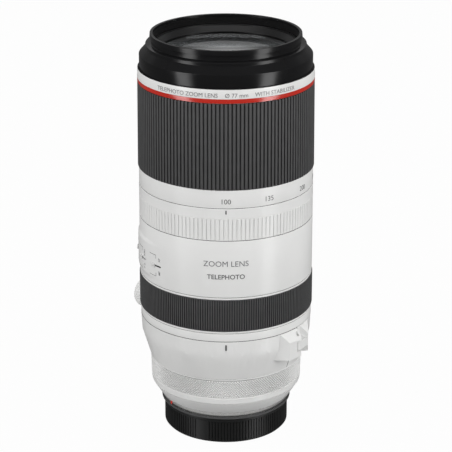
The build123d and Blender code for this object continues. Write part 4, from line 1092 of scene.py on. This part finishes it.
class LENS_OT_focus_ring(bpy.types.Operator):
    """Build the focus ring: sleeve with two lips and finely ribbed rubber"""
    bl_idname = "lens.focus_ring"
    bl_label = "Focus Ring"

    def execute(self, context):
        ribs = context.scene.lens_ribs
        wall, thickness, sleeve_ease = in_mm(1.65, 1.15, 0.15)
        edge, round_step, round_rise, edge_height = in_mm(0.25, 0.05, 0.15, 0.4)
        lip, low, top = ring_of("focus_sleeve")
        outer, grip_low, grip_top = ring_of("focus_grip")
        bore, seat = lip - wall, outer - thickness
        outline = [(bore, low), (lip, low), (lip, grip_low - SEAT_GAP), (seat, grip_low - SEAT_GAP),
                   (seat, grip_top + SEAT_GAP), (lip, grip_top + SEAT_GAP), (lip, top), (bore, top)]
        plain_ring("focus_sleeve_shell", outline, sleeve_ease, "focus_ring", "focus_sleeve")
        turns, valleys = rib_columns(ribs.focus_count, ribs.focus_land)
        body = [(seat, grip_low), (outer - edge, grip_low), (outer - round_step, grip_low + round_rise),
                (outer, grip_low + edge_height), (outer, grip_top - edge_height),
                (outer - round_step, grip_top - round_rise), (outer - edge, grip_top), (seat, grip_top)]
        grip = turned("focus_rubber", body, turns, rib_shift(valleys, ribs.focus_depth, first=2, last=5))
        dress(grip, "focus_ring", "rubber", "focus_grip")
        return {"FINISHED"}


class LENS_OT_rear_barrel(bpy.types.Operator):
    """Build the fixed rear barrel with its narrow band, and the painted cone above the mount"""
    bl_idname = "lens.rear_barrel"
    bl_label = "Rear Barrel"

    def execute(self, context):
        wall, neck, step, seat, tube_ease = in_mm(1.6, 38.0, 38.9, 41.35, 0.18)
        focus_bore, focus_seat, focus_floor = in_mm(43.0, 44.7, 5.9)
        ramp_rise, ramp_height, ramp_top, ramp_low = in_mm(8.8, 2.0, 3.0, 0.4)
        band, low, top = ring_of("rear_barrel")
        control_top = high_of("control_ring")
        collar_top = high_of("collar_upper") + TURN_GAP
        focus_low = low_of("focus_sleeve")
        ramp = control_top + ramp_rise
        outline = [(neck - wall, low), (neck, low), (neck, control_top), (step, control_top + SEAT_GAP),
                   (step, ramp), (seat, ramp + ramp_height), (seat, collar_top), (band, collar_top),
                   (band, focus_low - TURN_GAP), (focus_seat, focus_low - TURN_GAP), (focus_seat, top),
                   (focus_bore, top), (focus_bore, focus_low + focus_floor),
                   (seat - wall, focus_low + focus_floor), (seat - wall, ramp + ramp_top),
                   (neck - wall, ramp - ramp_low)]
        plain_ring("rear_tube", outline, tube_ease, "main_barrel", "rear_barrel")

        bore, lip_height, bore_drop, cover_ease = in_mm(33.1, 1.7, 4.8, 0.2)
        wide, cover_low, cover_top = ring_of("rear_cover")
        narrow = radius_of("mount_ring") + RUN_GAP
        lip = neck + SEAT_GAP
        outline = [(bore, cover_low), (narrow, cover_low), (wide, cover_top), (lip, cover_top),
                   (lip, cover_top - lip_height), (bore, cover_top - bore_drop)]
        plain_ring("rear_cone", outline, cover_ease, "main_barrel", "rear_cover", seams=False)
        mark_width, mark_height, mark_drop = in_mm(1.5, 1.9, 0.42)
        mark_turn, mark_level = radians(-56.4), 17.9 * MM
        printed("mount_index", [(bar(mark_width, mark_height), narrow - mark_drop, mark_turn, mark_level)],
                "main_barrel", "red_mark")
        return {"FINISHED"}


class LENS_OT_collar(bpy.types.Operator):
    """Build the two collar halves with eased edges from the frame's own, and the index bar"""
    bl_idname = "lens.collar"
    bl_label = "Tripod Collar"

    def execute(self, context):
        words = context.scene.lens_letters
        merge, flat, crease, edge, ease = 0.002 * MM, radians(0.5), radians(14), radians(40), 0.25 * MM
        joint_reach, index_radius, index_height, index_drop = in_mm(46.2, 46.36, 3.2, 3.3)
        for node, name in (("collar_lower", "collar_foot_half"), ("collar_upper", "collar_hinged_half")):
            shaped = bmesh.new()
            shaped.from_mesh(frame["nodes"][node].data)
            bmesh.ops.remove_doubles(shaped, verts=shaped.verts, dist=merge)
            bmesh.ops.dissolve_limit(shaped, angle_limit=flat, verts=shaped.verts, edges=shaped.edges)
            half = mesh_piece(name, shaped, crease)
            bevel = half.modifiers.new("eased_edges", "BEVEL")
            bevel.width = ease
            bevel.segments = 2
            bevel.limit_method = "ANGLE"
            bevel.angle_limit = edge
            bevel.use_clamp_overlap = True
            bevel.harden_normals = True
            half.data = evaluated_mesh(half)
            half.modifiers.clear()
            dress(half, node, "white_enamel", node)
            # Painted shade on the faces that meet the seat and the other half
            paint_joint_shade(half, low_of(node), high_of(node), joint_reach)
        printed("collar_index", [(bar(words.bar_width, index_height), index_radius, 0,
                                  high_of("collar_upper") - index_drop)], "collar_upper")
        return {"FINISHED"}


class LENS_OT_lock_knob(bpy.types.Operator):
    """Build the ribbed locking knob on the collar's latch"""
    bl_idname = "lens.lock_knob"
    bl_label = "Locking Knob"

    def execute(self, context):
        ribs = context.scene.lens_ribs
        outer, bore, inner, inset = in_mm(8.5, 2.6, 0.2, 0.15)
        back_edge, back_lead, rib_drop, rib_end = in_mm(0.6, 0.9, 2.2, 1.9)
        round_step, round_drop, rim_width = in_mm(0.7, 0.5, 1.8)
        dish_edge, dish, depth = in_mm(2.6, 0.35, 1.5)
        middle_back, middle_edge, middle_face = in_mm(1.4, 0.45, 0.3)
        rib_land, middle_columns = 0.55, 48
        joint = joint_where("name", "knob_turn")
        axis, place = Vector(joint["axis"]).normalized(), Vector(joint["pos_m"])
        reach = [(vert.co - place).dot(axis) for vert in frame["nodes"]["lock_knob"].data.vertices]
        back, front = min(reach), max(reach) - inset
        outline = [(bore, back), (outer - back_edge, back), (outer, back + back_edge),
                   (outer, back + back_lead), (outer, front - rib_drop), (outer, front - rib_end),
                   (outer - round_step, front - round_drop), (outer - rim_width, front),
                   (outer - dish_edge, front - dish), (bore, front - dish), (bore, front - depth)]
        turns, valleys = rib_columns(ribs.knob_count, rib_land)
        knob = turned("knob_body", outline, turns, rib_shift(valleys, ribs.knob_depth, first=2, last=6))
        middle = turned("knob_middle", [(inner, front - middle_back), (bore, front - middle_back),
                                        (bore, front - middle_edge), (inner, front - middle_face)],
                        even_turns(middle_columns))
        turn = axis.to_track_quat("Z", "Y").to_matrix().to_4x4()
        for piece in (knob, middle):
            piece.data.transform(Matrix.Translation(place) @ turn)
        dress(knob, "lock_knob", "white_enamel", "lock_knob")
        dress(middle, "lock_knob", "white_enamel")
        return {"FINISHED"}


class LENS_OT_control_ring(bpy.types.Operator):
    """Build the control ring with its band of small diamonds"""
    bl_idname = "lens.control_ring"
    bl_label = "Control Ring"

    def execute(self, context):
        ribs = context.scene.lens_ribs
        inner, foot, knurl_foot, knurl_head = in_mm(38.1, 40.8, 41.1, 41.4)
        foot_height, head_height, edge = in_mm(3.5, 1.15, 0.2)
        lead, lead_end, head_step, groove_lead, chamfer = in_mm(0.25, 0.15, 0.1, 0.02, 0.05)
        crease, seam_start = radians(18), 0.1 * MM
        low, top = low_of("control_ring"), high_of("control_ring")
        knurl_low, knurl_top = low + foot_height, top - head_height
        groove, band = knurl_head - ribs.knurl_groove, knurl_head - head_step
        rows = ribs.knurl_rows * 2
        outline = [(inner, low), (foot - edge, low), (foot, low + edge), (knurl_foot, knurl_low - lead),
                   (knurl_foot - edge, knurl_low - lead_end)]
        first = len(outline)
        for row in range(rows + 1):
            share_up = row / rows
            outline.append((knurl_foot + (knurl_head - knurl_foot) * share_up,
                            knurl_low + (knurl_top - knurl_low) * share_up))
        last = len(outline) - 1
        outline += [(groove, knurl_top + groove_lead), (groove, knurl_top + ribs.knurl_gap),
                    (band, knurl_top + ribs.knurl_gap + chamfer), (band, top - head_step),
                    (band - head_step, top), (inner, top)]

        def pits(point, column):
            return (point - first + column) % 2 == 1 if first <= point < last else None

        def shift(point, column):
            return -ribs.knurl_depth if point in (first, last) or pits(point, column) else 0

        ring = turned("control_band", outline, even_turns(ribs.knurl_count * 2), shift, pits, crease)
        dress(ring, "control_ring", "knurled_enamel", "control_ring")
        # Painted shade on the groove's faces over the knurl and in the seams
        paint_end_shade(ring, knurl_top - seam_start)
        return {"FINISHED"}


class LENS_OT_rear_cap(bpy.types.Operator):
    """Build the ribbed rear cap with its smooth pads and tabs"""
    bl_idname = "lens.rear_cap"
    bl_label = "Rear Cap"

    def execute(self, context):
        ribs = context.scene.lens_ribs
        outer, foot, bore, ledge, hub = in_mm(33.95, 33.4, 31.2, 27.3, 0.4)
        recess, recess_edge, recess_depth, floor = in_mm(24.0, 24.4, 0.35, 1.6)
        foot_edge, foot_round, foot_lift, foot_height = in_mm(1.2, 0.35, 0.25, 1.0)
        rib_low, rib_lead, rib_top, rib_end = in_mm(1.2, 1.5, 2.6, 2.2)
        lip_step, lip_low, lip_round, lip_top = in_mm(0.1, 2.0, 1.7, 0.6)
        lip_edge, top_edge, ledge_depth, centre = in_mm(0.15, 0.2, 3.3, 0.001)
        pad_turn, pad_half, pads, hub_columns = radians(-23.5), radians(5.5), 3, 24
        tab_width, tab_height, tab_corner, tab_rise, tab_ease = in_mm(10.6, 1.7, 0.4, 1.2, 0.15)
        tab_inset, tab_drop = in_mm(1.7, 0.8)
        top, lip = high_of("rear_cap"), radius_of("rear_cap")
        outline = [(hub, recess_depth), (recess, recess_depth), (recess_edge, 0), (foot - foot_edge, 0),
                   (foot - foot_round, foot_lift), (foot, foot_height), (outer, rib_low),
                   (outer, rib_lead), (outer, top - rib_top), (outer, top - rib_end),
                   (lip - lip_step, top - lip_low), (lip, top - lip_round), (lip, top - lip_top),
                   (lip - lip_edge, top - top_edge), (lip - lip_top, top), (ledge, top),
                   (ledge, top - ledge_depth), (bore, top - ledge_depth), (bore, floor), (hub, floor)]
        spread = FULL_TURN / pads
        smooth = [(pad_turn + spread * index, pad_half) for index in range(pads)]
        turns, valleys = rib_columns(ribs.cap_count, ribs.cap_land, smooth)
        cap = turned("cap_body", outline, turns, rib_shift(valleys, ribs.cap_depth, first=6, last=9))
        dress(cap, "rear_cap", "cap_plastic", "rear_cap")
        tab = flat_plate([rounded_box(tab_width, tab_height, tab_corner)], tab_rise, tab_ease)
        tabs = [wrapped(tab, ledge - tab_inset, spread * (index + 0.5), top - tab_drop)
                for index in range(pads)]
        dress(joined("cap_tabs", tabs), "rear_cap", "cap_plastic")
        middle = turned("cap_middle", [(centre, recess_depth), (hub, recess_depth), (hub, floor),
                                       (centre, floor)], even_turns(hub_columns))
        dress(middle, "rear_cap", "cap_plastic")
        return {"FINISHED"}


class LENS_OT_kept_parts(bpy.types.Operator):
    """Give each piece that stays as the frame has it its finish"""
    bl_idname = "lens.kept_parts"
    bl_label = "Inner Parts"

    def execute(self, context):
        for finish, nodes in KEPT_FINISHES.items():
            for node in nodes.split():
                for slot in frame["nodes"][node].material_slots:
                    slot.material = finish_named(finish)
        return {"FINISHED"}


def lay_floor(stage):
    """Pale floor, which the camera, gloss and glass see as plain white."""
    half_side = 6.0
    shaped = bmesh.new()
    bmesh.ops.create_grid(shaped, x_segments=1, y_segments=1, size=half_side)
    floor = mesh_piece("floor", shaped)
    paper = Finish(bpy.data.materials.new("floor_paper"))
    seen = least(paper.ray("Camera") + paper.ray("Glossy") + paper.ray("Transmission"), 1.0)
    matt = paper.node("ShaderNodeBsdfDiffuse", inputs={"Color": tuple(stage.floor)})
    white = paper.node("ShaderNodeEmission", inputs={"Color": (1, 1, 1), "Strength": 1.0})
    paper.output(paper.node("ShaderNodeMixShader",
                            inputs={0: seen * stage.floor_glow, 1: matt, 2: white}))
    floor.data.materials.append(paper.owner)
    floor.visible_glossy = False


def surround(stage):
    """World of a dark studio, with a bright backdrop behind the object and a table below it."""
    backdrop_edge, backdrop_start = 2.2, 1.0
    rise_edge, rise_start, rise_share, foot_edge = 12.0, 3.6, 0.9, 9.0
    table_edge, table_start = -3.0, 1.5
    studio = bpy.data.worlds.new("studio")
    air = Finish(studio)
    direction = air.node("ShaderNodeTexCoord", output="Generated")
    along = air.node("ShaderNodeSeparateXYZ", inputs={0: direction}, output="Y")
    up = air.node("ShaderNodeSeparateXYZ", inputs={0: direction}, output="Z")
    height = clamped(up * rise_edge - rise_start) * rise_share + clamped(up * foot_edge) * (1 - rise_share)
    backdrop = clamped(along * backdrop_edge - backdrop_start) * height
    table = clamped(up * table_edge - table_start)
    level = backdrop * (1 - stage.dark_level) + table * stage.table_level + stage.dark_level
    camera_ray, diffuse_ray = air.ray("Camera"), air.ray("Diffuse")
    lit = level * (1 - diffuse_ray) + diffuse_ray * stage.ambient
    strength = lit * (1 - camera_ray) + camera_ray
    air.output(air.node("ShaderNodeBackground", inputs={"Color": (1, 1, 1), "Strength": strength}),
               "ShaderNodeOutputWorld")
    return studio


def lamp(name, place, aim, power, width, height):
    """Area lamp that faces a point."""
    light = bpy.data.lights.new(name, "AREA")
    light.shape = "RECTANGLE"
    light.size = width
    light.size_y = height
    light.energy = power
    holder = bpy.data.objects.new(name, light)
    holder.location = place
    holder.rotation_euler = (aim - place).to_track_quat("-Z", "Y").to_euler()
    bpy.context.collection.objects.link(holder)


def camera_at(stage, aim):
    """Camera at the photograph's angle, level with the horizon and facing a point."""
    view = bpy.data.cameras.new("camera")
    view.sensor_width = SENSOR_WIDTH
    view.lens = stage.lens
    camera = bpy.data.objects.new("camera", view)
    camera.location = aim + Vector((0, -stage.distance * cos(stage.pitch),
                                    stage.distance * sin(stage.pitch)))
    camera.rotation_euler = (pi / 2 - stage.pitch, 0, 0)
    bpy.context.collection.objects.link(camera)
    return camera


class LENS_OT_stage(bpy.types.Operator):
    """Set the floor, the surroundings, the lamps and the camera"""
    bl_idname = "lens.stage"
    bl_label = "Stage"

    def execute(self, context):
        scene = context.scene
        stage = scene.lens_stage
        scene.view_settings.view_transform = "Standard"
        lay_floor(stage)
        scene.world = surround(stage)
        aim = Vector((0, 0, stage.aim_height))
        for name, side, power in (("left_lamp", -1, stage.left_power), ("right_lamp", 1, stage.right_power)):
            place = on_axis(stage.side_distance, side * stage.side_angle, stage.aim_height)
            lamp(name, place, aim, power, stage.side_width, stage.side_height)
        lamp("top_lamp", Vector((0, stage.top_back, stage.top_height)), aim, stage.top_power,
             stage.top_size, stage.top_size)
        scene.camera = camera_at(stage, aim)
        return {"FINISHED"}


class LENS_PT_panel(bpy.types.Panel):
    """Panel with the sizes, colours and builders of the lens"""
    bl_label = "Zoom Lens"
    bl_idname = "LENS_PT_panel"
    bl_space_type = "VIEW_3D"
    bl_region_type = "UI"
    bl_category = "Zoom Lens"

    def draw(self, context):
        for name in GROUPS:
            group = getattr(context.scene, name)
            box = self.layout.box()
            for key in group.__annotations__:
                box.prop(group, key)
        for operator in OPERATORS:
            self.layout.operator(operator.bl_idname)


GROUPS = {"lens_front": FrontSizes, "lens_ribs": RibSizes, "lens_letters": LetterSizes,
          "lens_switches": SwitchSizes, "lens_colours": LensColours, "lens_stage": StageSettings}
OPERATORS = (LENS_OT_front_ring, LENS_OT_baffle, LENS_OT_front_glass, LENS_OT_name_ring,
             LENS_OT_zoom_ring, LENS_OT_tension_ring, LENS_OT_main_barrel, LENS_OT_switches,
             LENS_OT_focus_ring, LENS_OT_rear_barrel, LENS_OT_collar, LENS_OT_lock_knob,
             LENS_OT_control_ring, LENS_OT_rear_cap, LENS_OT_kept_parts, LENS_OT_stage)


def register():
    """Make the groups, the operators and the panel known to Blender."""
    for item in (*GROUPS.values(), *OPERATORS, LENS_PT_panel):
        bpy.utils.register_class(item)
    for name, group in GROUPS.items():
        setattr(bpy.types.Scene, name, PointerProperty(type=group))


def unregister():
    """Take the groups, the operators and the panel out again."""
    for name in GROUPS:
        delattr(bpy.types.Scene, name)
    for item in (LENS_PT_panel, *reversed(OPERATORS), *reversed(GROUPS.values())):
        bpy.utils.unregister_class(item)


def main():
    """Build every piece and the stage."""
    register()
    for operator in OPERATORS:
        getattr(bpy.ops.lens, operator.bl_idname.split(".")[1])()


if __name__ == "__main__":
    main()
